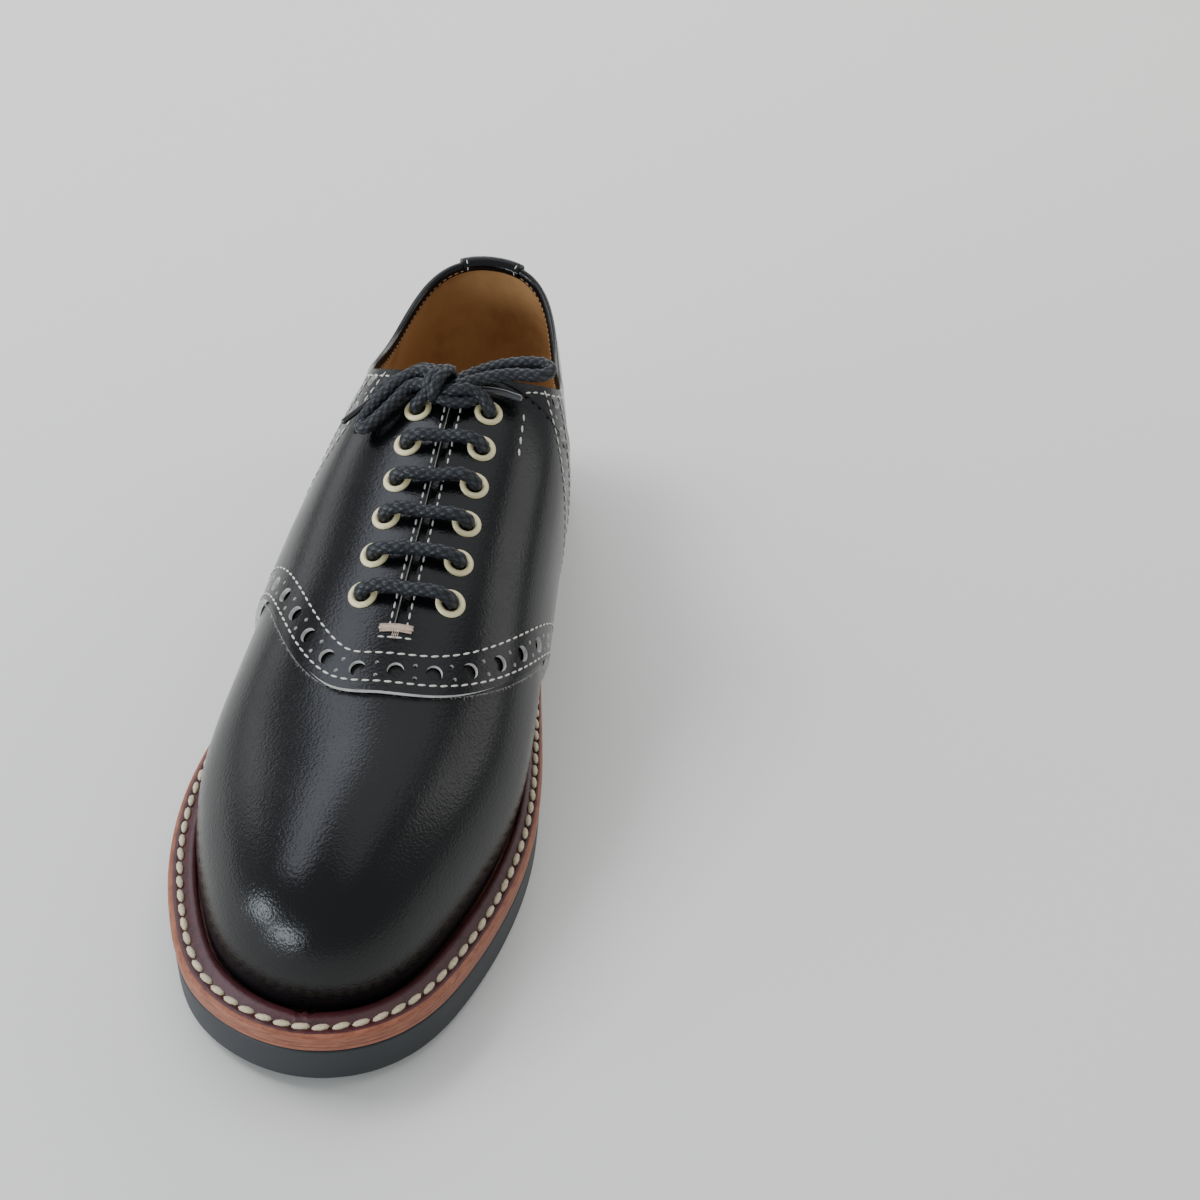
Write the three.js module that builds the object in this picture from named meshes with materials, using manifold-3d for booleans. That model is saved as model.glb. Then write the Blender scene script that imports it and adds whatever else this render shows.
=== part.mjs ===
// Saddle shoe for the right foot, standing empty on its sole.
// Millimetres, +Z up. The toe points along -Y, the heel along +Y, the inner side of the foot is +X.
// The upper, saddle, tongue, welt, insole and soles are all worked out from one last.
import * as THREE from 'three';
import Module from 'manifold-3d';

// Driving sizes
const soleLength = 300;
const ballWidth = 106;
const instepHeight = 78;
const weltMargin = 9;
const rubberThickness = 12.5;
const midsoleThickness = 3.3;
const weltThickness = 2.2;
const insoleThickness = 3;
const heelHeight = 12;
const heelLength = 84;
const toeSpring = 4;
const edgeRounding = 1;
const breastSetback = 4;
const upperWall = 2;
const saddleWall = 1.4;
const saddleFoot = 1.2;
const tongueThickness = 2;
const throatWidth = 2.6;
const eyeletDiameter = 9.6;
const eyeletBore = 5.2;
const eyeletHeight = 1;
const laceDiameter = 4;
const tabWidth = 23;
const tabHeight = 12;
const tabThickness = 1;
const gap = 0.3;
const saddleGap = 0.45;

// The last, a row for each section from the tip of the toe to the back of the heel.
// station: share of the last's length, which sets the spacing of the sections
// centre: where the section stands, as a share of the last's length
// turn: degrees that the section is turned towards the heel
// width, axis, lean: feather width, its middle and the ridge's offset, as shares of the ball width
// tilt: slope of the instep across the ridge, up towards the inner side
// height: ridge above the feather line, as a share of the instep height
// rise, crown: how far the wall climbs and the top spreads, as shares of height and half width
// outer, inner: how far the outer and inner walls swell, as shares of the ball width
// margin: how far the sole stands out, as a share of the welt margin
const lastColumns = [
  'station', 'centre', 'turn', 'width', 'axis', 'lean', 'tilt', 'height', 'rise', 'crown',
  'outer', 'inner', 'margin',
];
const lastRows = [
  [0.00, 0.000, 0, 0.000, -0.064, 0.000, 0.00, 0.000, 0.55, 0.55, 0.000, 0.000, 1.00],
  [0.01, 0.010, 0, 0.241, -0.065, 0.010, 0.00, 0.218, 0.55, 0.55, 0.000, 0.000, 1.00],
  [0.04, 0.040, 0, 0.454, -0.073, 0.022, 0.00, 0.378, 0.55, 0.55, 0.000, 0.000, 1.00],
  [0.09, 0.090, 0, 0.610, -0.076, 0.036, 0.00, 0.474, 0.54, 0.54, 0.020, 0.015, 0.97],
  [0.16, 0.160, 0, 0.745, -0.076, 0.053, 0.01, 0.545, 0.54, 0.54, 0.050, 0.045, 0.92],
  [0.25, 0.250, 0, 0.825, -0.071, 0.064, 0.03, 0.620, 0.55, 0.56, 0.090, 0.090, 0.82],
  [0.36, 0.360, 0, 0.795, -0.062, 0.070, 0.05, 0.780, 0.60, 0.60, 0.105, 0.130, 0.70],
  [0.49, 0.490, 0, 0.710, -0.045, 0.074, 0.09, 0.930, 0.66, 0.68, 0.130, 0.165, 0.50],
  [0.64, 0.640, 0, 0.630, -0.015, 0.062, 0.09, 1.025, 0.66, 0.77, 0.115, 0.165, 0.40],
  [0.74, 0.7513, 1, 0.630, -0.010, 0.040, 0.035, 1.085, 0.56, 0.76, 0.085, 0.085, 0.38],
  [0.82, 0.8278, 7, 0.640, -0.006, 0.012, 0.00, 1.122, 0.42, 0.68, 0.035, 0.030, 0.38],
  [0.88, 0.8678, 28, 0.645, -0.002, 0.000, 0.00, 1.150, 0.36, 0.68, 0.030, 0.025, 0.38],
  [0.94, 0.8800, 59, 0.650, 0.000, 0.000, 0.00, 1.160, 0.39, 0.74, 0.050, 0.050, 0.38],
  [1.00, 0.8810, 90, 0.650, 0.000, 0.000, 0.00, 1.165, 0.40, 0.75, 0.055, 0.055, 0.38],
];

// Top edge seen from the side: place as a share of the sole's length from the toe,
// height above the floor as a share of the back height.
const backHeight = 90;
const topEdgeRows = [
  [0.587, 1.189], [0.613, 1.130], [0.643, 1.063], [0.673, 1.000], [0.713, 0.926], [0.753, 0.878],
  [0.793, 0.853], [0.833, 0.851], [0.883, 0.881], [0.933, 0.940], [0.973, 0.997], [1.000, 1.022],
];

// Edges of the saddle: share of the wall's height, then stations at the outer and inner side.
const saddleFrontRows = [
  [0.0, 0.425, 0.430], [0.2, 0.415, 0.408], [0.4, 0.388, 0.342], [0.6, 0.313, 0.284],
  [0.8, 0.254, 0.253], [1.0, 0.246, 0.246],
];
const saddleRearRows = [
  [0.0, 0.555, 0.560], [0.4, 0.582, 0.590], [0.7, 0.618, 0.625], [1.0, 0.655, 0.655],
];

// Throat and lacing, as shares of the sole's length from the toe and of the ball width.
const throatFront = 0.327;
const throatBack = 0.595;
const throatFrontX = 0.003;
const throatBackX = 0.045;
const eyeletRows = 6;
const firstEyeletAt = 0.564;
const lastEyeletAt = 0.36;
const topEyeletReach = 0.097;
const lowEyeletReach = 0.112;

// Bow: across, along and above, from the ridge at the first row, as shares of the ball width.
const knotPlace = [-0.020, 0.012, 0.083];
const knotSize = [0.066, 0.040, 0.036];
const outerLoopRows = [
  [-0.104, 0.058, 0.080], [-0.153, 0.049, 0.057], [-0.200, 0.021, 0.022], [-0.257, -0.038, -0.047],
  [-0.247, -0.074, -0.047], [-0.190, -0.041, 0.000], [-0.153, -0.003, 0.033], [-0.123, 0.016, 0.057],
];
const innerLoopRows = [
  [0.058, 0.073, 0.103], [0.111, 0.092, 0.115], [0.177, 0.101, 0.128], [0.248, 0.097, 0.132],
  [0.262, 0.073, 0.128], [0.234, 0.054, 0.123], [0.173, 0.052, 0.119], [0.111, 0.042, 0.113],
  [0.062, 0.028, 0.106],
];
const outerEndRows = [
  [-0.101, 0.096, 0.078], [-0.153, 0.091, 0.055], [-0.209, 0.078, 0.024], [-0.257, 0.060, -0.014],
  [-0.332, 0.033, -0.075],
];
const innerEndRows = [
  [0.060, 0.031, 0.069], [0.121, 0.041, 0.066], [0.189, 0.044, 0.053],
];
const laceTip = 0.65;

// Splines
function spline(xs, ys, flatStart, flatEnd) {
  // Natural cubic spline; a flat end has no slope.
  const last = xs.length - 1;
  const h = xs.slice(1).map((x, i) => x - xs[i]);
  const d = h.map((step, i) => (ys[i + 1] - ys[i]) / step);
  const low = new Array(last + 1).fill(0);
  const mid = new Array(last + 1).fill(1);
  const high = new Array(last + 1).fill(0);
  const rhs = new Array(last + 1).fill(0);
  for (let i = 1; i < last; i++) {
    low[i] = h[i - 1];
    mid[i] = 2 * (h[i - 1] + h[i]);
    high[i] = h[i];
    rhs[i] = 6 * (d[i] - d[i - 1]);
  }
  if (flatStart) {
    mid[0] = 2 * h[0];
    high[0] = h[0];
    rhs[0] = 6 * d[0];
  }
  if (flatEnd) {
    mid[last] = 2 * h[last - 1];
    low[last] = h[last - 1];
    rhs[last] = -6 * d[last - 1];
  }
  for (let i = 1; i <= last; i++) {
    const share = low[i] / mid[i - 1];
    mid[i] -= share * high[i - 1];
    rhs[i] -= share * rhs[i - 1];
  }
  const bend = new Array(last + 1).fill(0);
  bend[last] = rhs[last] / mid[last];
  for (let i = last - 1; i >= 0; i--) {
    bend[i] = (rhs[i] - high[i] * bend[i + 1]) / mid[i];
  }
  return (x) => {
    let i = 0;
    while (i < last - 1 && x > xs[i + 1]) i++;
    const a = (xs[i + 1] - x) / h[i];
    const b = (x - xs[i]) / h[i];
    const curve = ((a ** 3 - a) * bend[i] + (b ** 3 - b) * bend[i + 1]) * h[i] * h[i] / 6;
    return a * ys[i] + b * ys[i + 1] + curve;
  };
}

// The last's columns run over t, the square root of the station, so that the toe closes round.
const lengthwise = lastRows.map((row) => Math.sqrt(row[0]));
const oddAtToe = ['width', 'lean', 'tilt', 'height'];
const last = {};
lastColumns.slice(1).forEach((name, k) => {
  const values = lastRows.map((row) => row[k + 1]);
  last[name] = spline(lengthwise, values, !oddAtToe.includes(name), name !== 'turn');
});

const heelMargin = weltMargin * last.margin(1);
const lastLength = soleLength - weltMargin - heelMargin;
const soleFront = -soleLength / 2;
const lastFront = soleFront + weltMargin;
const along = (share) => soleFront + share * soleLength;

// Sole line: the tread is flat under the ball, lifts to the toe and rises over the heel block.
const flatFront = along(0.25);
const flatBack = along(0.383);
const heelBreast = soleLength / 2 - heelLength;
const springPower = 2.2;

function lift(y) {
  const toe = Math.max(0, (flatFront - y) / (flatFront - soleFront));
  const s = Math.min(1, Math.max(0, (y - flatBack) / (heelBreast - breastSetback - flatBack)));
  const shank = 6 * s ** 5 - 15 * s ** 4 + 10 * s ** 3;
  return toeSpring * toe ** springPower + heelHeight * shank;
}

const midsoleBase = rubberThickness + gap;
const featherBase = midsoleBase + midsoleThickness + gap;
const featherHeight = (y) => lift(y) + featherBase;

// Surface of the last. side is -1 outside and 1 inside, t runs from toe to heel,
// v from the feather line at 0 to the ridge at 1.
function controls(side, t) {
  const y = lastFront + lastLength * last.centre(t);
  const turn = THREE.MathUtils.degToRad(last.turn(t));
  const ex = side * Math.cos(turn);
  const ey = Math.sin(turn);
  const middle = last.axis(t) * ballWidth;
  const half = last.width(t) * ballWidth / 2;
  const height = last.height(t) * instepHeight;
  const swell = (side < 0 ? last.outer(t) : last.inner(t)) * ballWidth;
  const spread = last.crown(t) * half;
  const foot = new THREE.Vector3(middle + ex * half, y + ey * half, featherHeight(y + ey * half));
  const wall = new THREE.Vector3(
    middle + ex * (half + swell), y + ey * (half + swell), foot.z + last.rise(t) * height);
  const ridge = new THREE.Vector3(
    middle + last.lean(t) * ballWidth, y, featherHeight(y) + height);
  const top = ridge.clone();
  top.x += ex * spread;
  top.y += ey * spread;
  top.z += side * last.tilt(t) * spread;
  return [foot, wall, top, ridge];
}

function lastPoint(side, t, v) {
  const [a, b, c, d] = controls(side, t);
  const u = 1 - v;
  return a.multiplyScalar(u ** 3)
    .addScaledVector(b, 3 * u * u * v)
    .addScaledVector(c, 3 * u * v * v)
    .addScaledVector(d, v ** 3);
}

function lastNormal(side, t, v) {
  // On the ridge both sides share one normal.
  if (v > 1 - 1e-6) return sideNormal(-1, t, 1).add(sideNormal(1, t, 1)).normalize();
  return sideNormal(side, t, v);
}

function sideNormal(side, t, v) {
  if (t === 0) return new THREE.Vector3(0, -1, 0);
  const [a, b, c, d] = controls(side, t);
  const u = 1 - v;
  const across = b.clone().sub(a).multiplyScalar(u * u)
    .addScaledVector(c.clone().sub(b), 2 * u * v)
    .addScaledVector(d.clone().sub(c), v * v);
  const step = 1e-4;
  const lengthways = t === 1
    ? new THREE.Vector3(-side, 0, 0)
    : lastPoint(side, Math.min(1, t + step), v).sub(lastPoint(side, t - step, v));
  return lengthways.cross(across).normalize().multiplyScalar(side);
}

// Share of the profile at which a test on height first holds.
function profileShare(side, t, above) {
  let low = 0;
  let high = 1;
  if (!above(lastPoint(side, t, 1))) return 1;
  for (let i = 0; i < 40; i++) {
    const v = (low + high) / 2;
    if (above(lastPoint(side, t, v))) high = v;
    else low = v;
  }
  return (low + high) / 2;
}

const topEdge = spline(
  topEdgeRows.map((row) => along(row[0])), topEdgeRows.map((row) => row[1] * backHeight), false, false);
const topEdgeStart = along(topEdgeRows[0][0]);
const topEdgeHeight = (y) => (y < topEdgeStart ? Infinity : topEdge(y));
const topShare = (side, t) => (t <= throatEnd
  ? 1
  : profileShare(side, t, (p) => p.z > topEdgeHeight(p.y)));
const heightShare = (side, t, height) => profileShare(
  side, t, (p) => p.z > lastPoint(side, t, 0).z + height);

function facingTop() {
  // Where the ridge meets the top edge.
  let low = Math.sqrt(0.5);
  let high = Math.sqrt(0.72);
  for (let i = 0; i < 40; i++) {
    const t = (low + high) / 2;
    const p = lastPoint(1, t, 1);
    if (p.z > topEdgeHeight(p.y)) high = t;
    else low = t;
  }
  return (low + high) / 2;
}

const throatEnd = facingTop();

// Sections shared by the upper and everything under it, closer where the opening starts
// and around the heel.
const joinedSections = 24;
const openSections = 14;
const sections = [];
for (let i = 0; i <= joinedSections; i++) sections.push(throatEnd * i / joinedSections);
for (let i = 1; i <= openSections; i++) {
  const eased = (1 - Math.cos(Math.PI * i / openSections)) / 2;
  sections.push(THREE.MathUtils.lerp(throatEnd, 1, eased));
}

// Meshes
class Solid {
  constructor() {
    this.points = [];
    this.faces = [];
    this.places = new Map();
  }

  point(p) {
    const key = [p.x, p.y, p.z].map((c) => Math.round(c * 2e3)).join(' ');
    if (!this.places.has(key)) {
      this.places.set(key, this.points.length / 3);
      this.points.push(p.x, p.y, p.z);
    }
    return this.places.get(key);
  }

  quad(a, b, c, d, flipped) {
    const corners = [a, b, c, d].map((p) => this.point(p));
    for (const [i, j, k] of [[0, 1, 2], [0, 2, 3]]) {
      const face = [corners[i], corners[j], corners[k]];
      if (new Set(face).size < 3) continue;
      this.faces.push(...(flipped ? face.reverse() : face));
    }
  }

  volume() {
    let sum = 0;
    const p = this.points;
    for (let i = 0; i < this.faces.length; i += 3) {
      const [a, b, c] = [0, 1, 2].map(
        (k) => new THREE.Vector3().fromArray(p, this.faces[i + k] * 3));
      sum += a.dot(b.cross(c));
    }
    return sum / 6;
  }

  geometry() {
    const faces = this.volume() > 0 ? this.faces : [...this.faces].reverse();
    const made = new THREE.BufferGeometry();
    made.setAttribute('position', new THREE.Float32BufferAttribute(this.points, 3));
    made.setIndex(faces);
    return made;
  }
}

const wasm = await Module();
wasm.setup();

function toManifold(geometry) {
  return new wasm.Manifold(new wasm.Mesh({
    numProp: 3,
    vertProperties: new Float32Array(geometry.attributes.position.array),
    triVerts: new Uint32Array(geometry.index.array),
  }));
}

function fromManifold(body) {
  const mesh = body.getMesh();
  const made = new THREE.BufferGeometry();
  made.setAttribute('position', new THREE.Float32BufferAttribute(mesh.vertProperties, 3));
  made.setIndex(Array.from(mesh.triVerts));
  return made;
}

// A shell that follows the last on both sides and joins along the ridge as far as the throat's end.
// lengthways(side, w, k) gives t; foot(side, t) the profile share at its lower edge.
function lastShell({ columns, rows, lengthways, foot, outside, inside, roundHeel, joinedColumns }) {
  const solid = new Solid();
  for (const side of [-1, 1]) {
    const layers = [outside, inside].map((offset) => {
      const grid = [];
      for (let i = 0; i <= columns; i++) {
        const line = [];
        for (let j = 0; j <= rows; j++) {
          const w = j / rows;
          const t = lengthways(side, w, i);
          const low = foot(side, t);
          const v = THREE.MathUtils.lerp(low, topShare(side, t), w);
          const base = lastPoint(side, t, v);
          const p = base.clone().addScaledVector(lastNormal(side, t, v), offset);
          if (j === 0 && low === 0) p.z = base.z;
          line.push(p);
        }
        grid.push(line);
      }
      return grid;
    });
    const [out, inn] = layers;
    const flipped = side < 0;
    for (let i = 0; i < columns; i++) {
      for (let j = 0; j < rows; j++) {
        solid.quad(out[i][j], out[i][j + 1], out[i + 1][j + 1], out[i + 1][j], !flipped);
        solid.quad(inn[i][j], inn[i][j + 1], inn[i + 1][j + 1], inn[i + 1][j], flipped);
      }
      solid.quad(out[i][0], out[i + 1][0], inn[i + 1][0], inn[i][0], !flipped);
      if (i >= joinedColumns) {
        solid.quad(out[i][rows], out[i + 1][rows], inn[i + 1][rows], inn[i][rows], flipped);
      }
    }
    for (let j = 0; j < rows; j++) {
      solid.quad(out[0][j], out[0][j + 1], inn[0][j + 1], inn[0][j], flipped);
      if (!roundHeel) {
        solid.quad(
          out[columns][j], out[columns][j + 1], inn[columns][j + 1], inn[columns][j], !flipped);
      }
    }
  }
  return solid;
}

// The open throat is a narrow slot through upper and saddle.
const throat = {
  front: new THREE.Vector3(throatFrontX * ballWidth, along(throatFront), 0),
  back: new THREE.Vector3(throatBackX * ballWidth, along(throatBack), 0),
};

function throatX(y) {
  const share = (y - throat.front.y) / (throat.back.y - throat.front.y);
  return THREE.MathUtils.lerp(throat.front.x, throat.back.x, share);
}

function throatSlot() {
  const beyond = 0.4;
  const length = throat.back.distanceTo(throat.front) * (1 + beyond);
  const slot = new THREE.BoxGeometry(throatWidth, length, instepHeight).toNonIndexed();
  const middle = throat.front.clone().lerp(throat.back, (1 + beyond) / 2);
  slot.rotateZ(-Math.atan2(throat.back.x - throat.front.x, throat.back.y - throat.front.y));
  slot.translate(middle.x, middle.y, featherBase + instepHeight);
  const solid = new Solid();
  const p = slot.attributes.position;
  for (let i = 0; i < p.count; i += 3) {
    const [a, b, c] = [0, 1, 2].map((k) => new THREE.Vector3().fromBufferAttribute(p, i + k));
    solid.quad(a, b, c, c, false);
  }
  return toManifold(solid.geometry());
}

function upper() {
  const shell = lastShell({
    columns: sections.length - 1, rows: 10, joinedColumns: joinedSections,
    lengthways: (side, w, i) => sections[i],
    foot: () => 0, outside: 0, inside: -upperWall, roundHeel: true,
  });
  return fromManifold(toManifold(shell.geometry()).subtract(throatSlot()));
}

function sideSpline(rows, side) {
  const column = side < 0 ? 1 : 2;
  return spline(rows.map((row) => row[0]), rows.map((row) => Math.sqrt(row[column])), false, true);
}

const saddleFront = { [-1]: sideSpline(saddleFrontRows, -1), 1: sideSpline(saddleFrontRows, 1) };
const saddleRear = { [-1]: sideSpline(saddleRearRows, -1), 1: sideSpline(saddleRearRows, 1) };

function saddle() {
  const columns = 17;
  const rows = 12;
  const joinedColumns = 12;
  const atRidge = (throatEnd - saddleFront[1](1)) / (saddleRear[1](1) - saddleFront[1](1));
  const lengthways = (side, w, i) => {
    const share = i <= joinedColumns
      ? atRidge * i / joinedColumns
      : THREE.MathUtils.lerp(atRidge, 1, ((i - joinedColumns) / (columns - joinedColumns)) ** 1.6);
    return THREE.MathUtils.lerp(saddleFront[side](w), saddleRear[side](w), share);
  };
  const shell = lastShell({
    columns, rows, lengthways, joinedColumns,
    foot: (side, t) => heightShare(side, t, weltThickness + saddleFoot),
    outside: saddleGap + saddleWall, inside: saddleGap, roundHeel: false,
  });
  return fromManifold(toManifold(shell.geometry()).subtract(throatSlot()));
}

// Flat pieces of the bottom follow the feather line, moved out or in along its plan normal.
function featherPoint(side, t, outwards) {
  const step = 1e-4;
  const p = lastPoint(side, t, 0);
  const n = new THREE.Vector3(0, t === 0 ? -1 : 1, 0);
  if (t > 0 && t < 1) {
    const ahead = lastPoint(side, t + step, 0).sub(lastPoint(side, t - step, 0));
    n.set(ahead.y * side, -ahead.x * side, 0).normalize();
  }
  return p.addScaledVector(n, outwards);
}

const solePoint = (side, t, inset) => featherPoint(side, t, last.margin(t) * weltMargin - inset);

function plate(loops, stations) {
  // Each loop is an outline with a height; the first and last are capped by strips across.
  const solid = new Solid();
  const outline = loops.map((loop) => [-1, 1].map((side) => {
    return stations(side).map((t) => {
      const p = loop.place(side, t);
      return new THREE.Vector3(p.x, p.y, loop.height(p.y));
    });
  }));
  for (let i = 0; i < outline[0][0].length - 1; i++) {
    outline.forEach(([outer, inner], k) => {
      const top = k === outline.length - 1;
      if (k === 0 || top) solid.quad(outer[i], outer[i + 1], inner[i + 1], inner[i], top);
      if (top) return;
      const [outerAbove, innerAbove] = outline[k + 1];
      solid.quad(outer[i], outer[i + 1], outerAbove[i + 1], outerAbove[i], true);
      solid.quad(inner[i], inner[i + 1], innerAbove[i + 1], innerAbove[i], false);
    });
  }
  for (let k = 0; k < outline.length - 1; k++) {
    const [outer, inner] = outline[k];
    const [outerAbove, innerAbove] = outline[k + 1];
    solid.quad(outer[0], outerAbove[0], innerAbove[0], inner[0], true);
  }
  return solid.geometry();
}

const wholeSole = () => sections;

function heelSections(side) {
  let low = 0.6;
  let high = 1;
  for (let i = 0; i < 40; i++) {
    const t = (low + high) / 2;
    if (solePoint(side, t, 0).y > heelBreast) high = t;
    else low = t;
  }
  const count = 12;
  return Array.from({ length: count + 1 }, (_, i) => THREE.MathUtils.lerp(low, 1, i / count));
}

function outsole() {
  return plate([
    { place: (side, t) => solePoint(side, t, edgeRounding), height: lift },
    { place: (side, t) => solePoint(side, t, 0), height: (y) => lift(y) + 1.5 * edgeRounding },
    { place: (side, t) => solePoint(side, t, 0), height: (y) => lift(y) + rubberThickness },
  ], wholeSole);
}

function heelBlock() {
  return plate([
    { place: (side, t) => solePoint(side, t, edgeRounding), height: () => 0 },
    { place: (side, t) => solePoint(side, t, edgeRounding / 2), height: () => edgeRounding },
    { place: (side, t) => solePoint(side, t, edgeRounding), height: () => heelHeight - gap },
  ], heelSections);
}

function midsole() {
  return plate([
    { place: (side, t) => solePoint(side, t, 0), height: (y) => lift(y) + midsoleBase },
    {
      place: (side, t) => solePoint(side, t, 0),
      height: (y) => lift(y) + midsoleBase + midsoleThickness,
    },
  ], wholeSole);
}

function insole() {
  const place = (side, t) => featherPoint(side, t, -upperWall - 2 * gap);
  return plate([
    { place, height: featherHeight },
    { place, height: (y) => featherHeight(y) + insoleThickness },
  ], wholeSole);
}

function welt() {
  const solid = new Solid();
  const innerEdge = (side, t) => {
    if (t === 0 || t === 1) return featherPoint(side, t, 2 * gap);
    const share = heightShare(side, t, weltThickness);
    const reach = lastPoint(side, t, share);
    const edge = featherPoint(side, t, 0);
    return featherPoint(side, t, Math.hypot(reach.x - edge.x, reach.y - edge.y) + 2 * gap);
  };
  for (const side of [-1, 1]) {
    const ring = sections.map((t) => [solePoint(side, t, 0), innerEdge(side, t)].map(
      (p) => [0, weltThickness].map(
        (rise) => new THREE.Vector3(p.x, p.y, featherHeight(p.y) + rise))));
    const flipped = side < 0;
    for (let i = 0; i < ring.length - 1; i++) {
      const [[outLow, outHigh], [inLow, inHigh]] = ring[i];
      const [[outLowNext, outHighNext], [inLowNext, inHighNext]] = ring[i + 1];
      solid.quad(outLow, outLowNext, outHighNext, outHigh, flipped);
      solid.quad(outHigh, outHighNext, inHighNext, inHigh, flipped);
      solid.quad(inHigh, inHighNext, inLowNext, inLow, flipped);
      solid.quad(inLow, inLowNext, outLowNext, outLow, flipped);
    }
  }
  return solid.geometry();
}

// Tongue: a curved leaf under the facings, from ahead of the throat to its top.
const tongueFront = 0.272;
const tongueBack = 0.583;
const tongueLow = 0.72;

function tongue() {
  const columns = 10;
  const rows = 4;
  const out = -upperWall - saddleGap;
  const solid = new Solid();
  for (const side of [-1, 1]) {
    const layers = [out, out - tongueThickness].map((offset) => {
      const grid = [];
      for (let i = 0; i <= columns; i++) {
        const line = [];
        for (let j = 0; j <= rows; j++) {
          const w = j / rows;
          const corner = 1 - Math.sqrt(1 - (1 - w) ** 2);
          const back = THREE.MathUtils.lerp(tongueBack, tongueBack - 0.05, corner);
          const t = Math.sqrt(THREE.MathUtils.lerp(tongueFront, back, i / columns));
          const v = THREE.MathUtils.lerp(tongueLow, 1, w);
          const p = lastPoint(side, t, v).addScaledVector(lastNormal(side, t, v), offset);
          line.push(p);
        }
        grid.push(line);
      }
      return grid;
    });
    const [top, under] = layers;
    const flipped = side < 0;
    for (let i = 0; i < columns; i++) {
      for (let j = 0; j < rows; j++) {
        solid.quad(top[i][j], top[i][j + 1], top[i + 1][j + 1], top[i + 1][j], !flipped);
        solid.quad(under[i][j], under[i][j + 1], under[i + 1][j + 1], under[i + 1][j], flipped);
      }
      solid.quad(top[i][0], top[i + 1][0], under[i + 1][0], under[i][0], !flipped);
    }
    for (let j = 0; j < rows; j++) {
      solid.quad(top[0][j], top[0][j + 1], under[0][j + 1], under[0][j], flipped);
      solid.quad(
        top[columns][j], top[columns][j + 1], under[columns][j + 1], under[columns][j], !flipped);
    }
  }
  return solid.geometry();
}

// Tab folded over the back of the top edge.
function backTab() {
  const solid = new Solid();
  const columns = 6;
  const rows = 4;
  const reach = (side, t) => Math.abs(lastPoint(side, t, topShare(side, t)).x - last.axis(1) * ballWidth);
  for (const side of [-1, 1]) {
    let fromT = 0.9;
    let toT = 1;
    for (let i = 0; i < 40; i++) {
      const t = (fromT + toT) / 2;
      if (reach(side, t) > tabWidth / 2) fromT = t;
      else toT = t;
    }
    const profile = (t) => {
      const top = topShare(side, t);
      const low = profileShare(side, t, (p) => p.z > topEdgeHeight(p.y) - tabHeight);
      const line = [];
      for (let j = 0; j <= rows; j++) line.push([THREE.MathUtils.lerp(low, top, j / rows), 1]);
      for (let j = rows; j >= 0; j--) line.push([THREE.MathUtils.lerp(low, top, j / rows), -1]);
      return line.map(([v, face]) => {
        const offset = face > 0 ? saddleGap : -upperWall - saddleGap;
        return { v, offset, face };
      });
    };
    const rings = [];
    for (let i = 0; i <= columns; i++) {
      const t = THREE.MathUtils.lerp(fromT, 1, i / columns);
      const line = profile(t);
      const near = [];
      const far = [];
      line.forEach(({ v, offset, face }, k) => {
        const n = lastNormal(side, t, v);
        const over = k === rows || k === rows + 1;
        const base = lastPoint(side, t, v);
        const inner = base.clone().addScaledVector(n, offset);
        const outer = base.clone().addScaledVector(n, offset + face * tabThickness);
        if (over) {
          inner.z += gap;
          outer.z += gap + tabThickness;
        }
        near.push(inner);
        far.push(outer);
      });
      rings.push({ near, far });
    }
    const flipped = side < 0;
    const last1 = rings[0].near.length - 1;
    for (let i = 0; i < columns; i++) {
      const a = rings[i];
      const b = rings[i + 1];
      for (let k = 0; k < last1; k++) {
        solid.quad(a.far[k], a.far[k + 1], b.far[k + 1], b.far[k], !flipped);
        solid.quad(a.near[k], a.near[k + 1], b.near[k + 1], b.near[k], flipped);
      }
      solid.quad(a.far[0], b.far[0], b.near[0], a.near[0], !flipped);
      solid.quad(a.far[last1], b.far[last1], b.near[last1], a.near[last1], flipped);
    }
    for (let k = 0; k < last1; k++) {
      const a = rings[0];
      solid.quad(a.far[k], a.far[k + 1], a.near[k + 1], a.near[k], flipped);
    }
  }
  return solid.geometry();
}

// Places on the outside of the saddle
function surfaceAt(side, x, y, offset) {
  const t = Math.sqrt((y - lastFront) / lastLength);
  const v = profileShare(side, t, (p) => p.x * side < x * side);
  const n = lastNormal(side, t, v);
  return { place: lastPoint(side, t, v).addScaledVector(n, offset), normal: n };
}

const saddleTop = saddleGap + saddleWall;
const rowPlace = (row) => along(
  THREE.MathUtils.lerp(firstEyeletAt, lastEyeletAt, row / (eyeletRows - 1)));
const rowReach = (row) => ballWidth * THREE.MathUtils.lerp(
  topEyeletReach, lowEyeletReach, row / (eyeletRows - 1));

function eyeletSeat(side, row) {
  const y = rowPlace(row);
  return surfaceAt(side, throatX(y) + side * rowReach(row), y, saddleTop + gap);
}

function eyeletGeometry() {
  const inner = eyeletBore / 2;
  const outer = eyeletDiameter / 2;
  const profile = [
    [inner, 0], [outer, 0], [outer - 0.4, 0.7 * eyeletHeight],
    [0.6 * inner + 0.4 * outer, eyeletHeight], [inner, 0],
  ].map(([r, z]) => new THREE.Vector2(r, z));
  const segments = 12;
  const solid = new Solid();
  for (let i = 0; i < segments; i++) {
    const [a, b] = [i, (i + 1) % segments].map((k) => k / segments * 2 * Math.PI);
    for (let k = 0; k < profile.length - 1; k++) {
      const [p, q] = [profile[k], profile[k + 1]];
      const at = (point, turn) => new THREE.Vector3(
        point.x * Math.cos(turn), point.x * Math.sin(turn), point.y);
      solid.quad(at(p, a), at(q, a), at(q, b), at(p, b), true);
    }
  }
  return solid.geometry();
}

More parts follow.
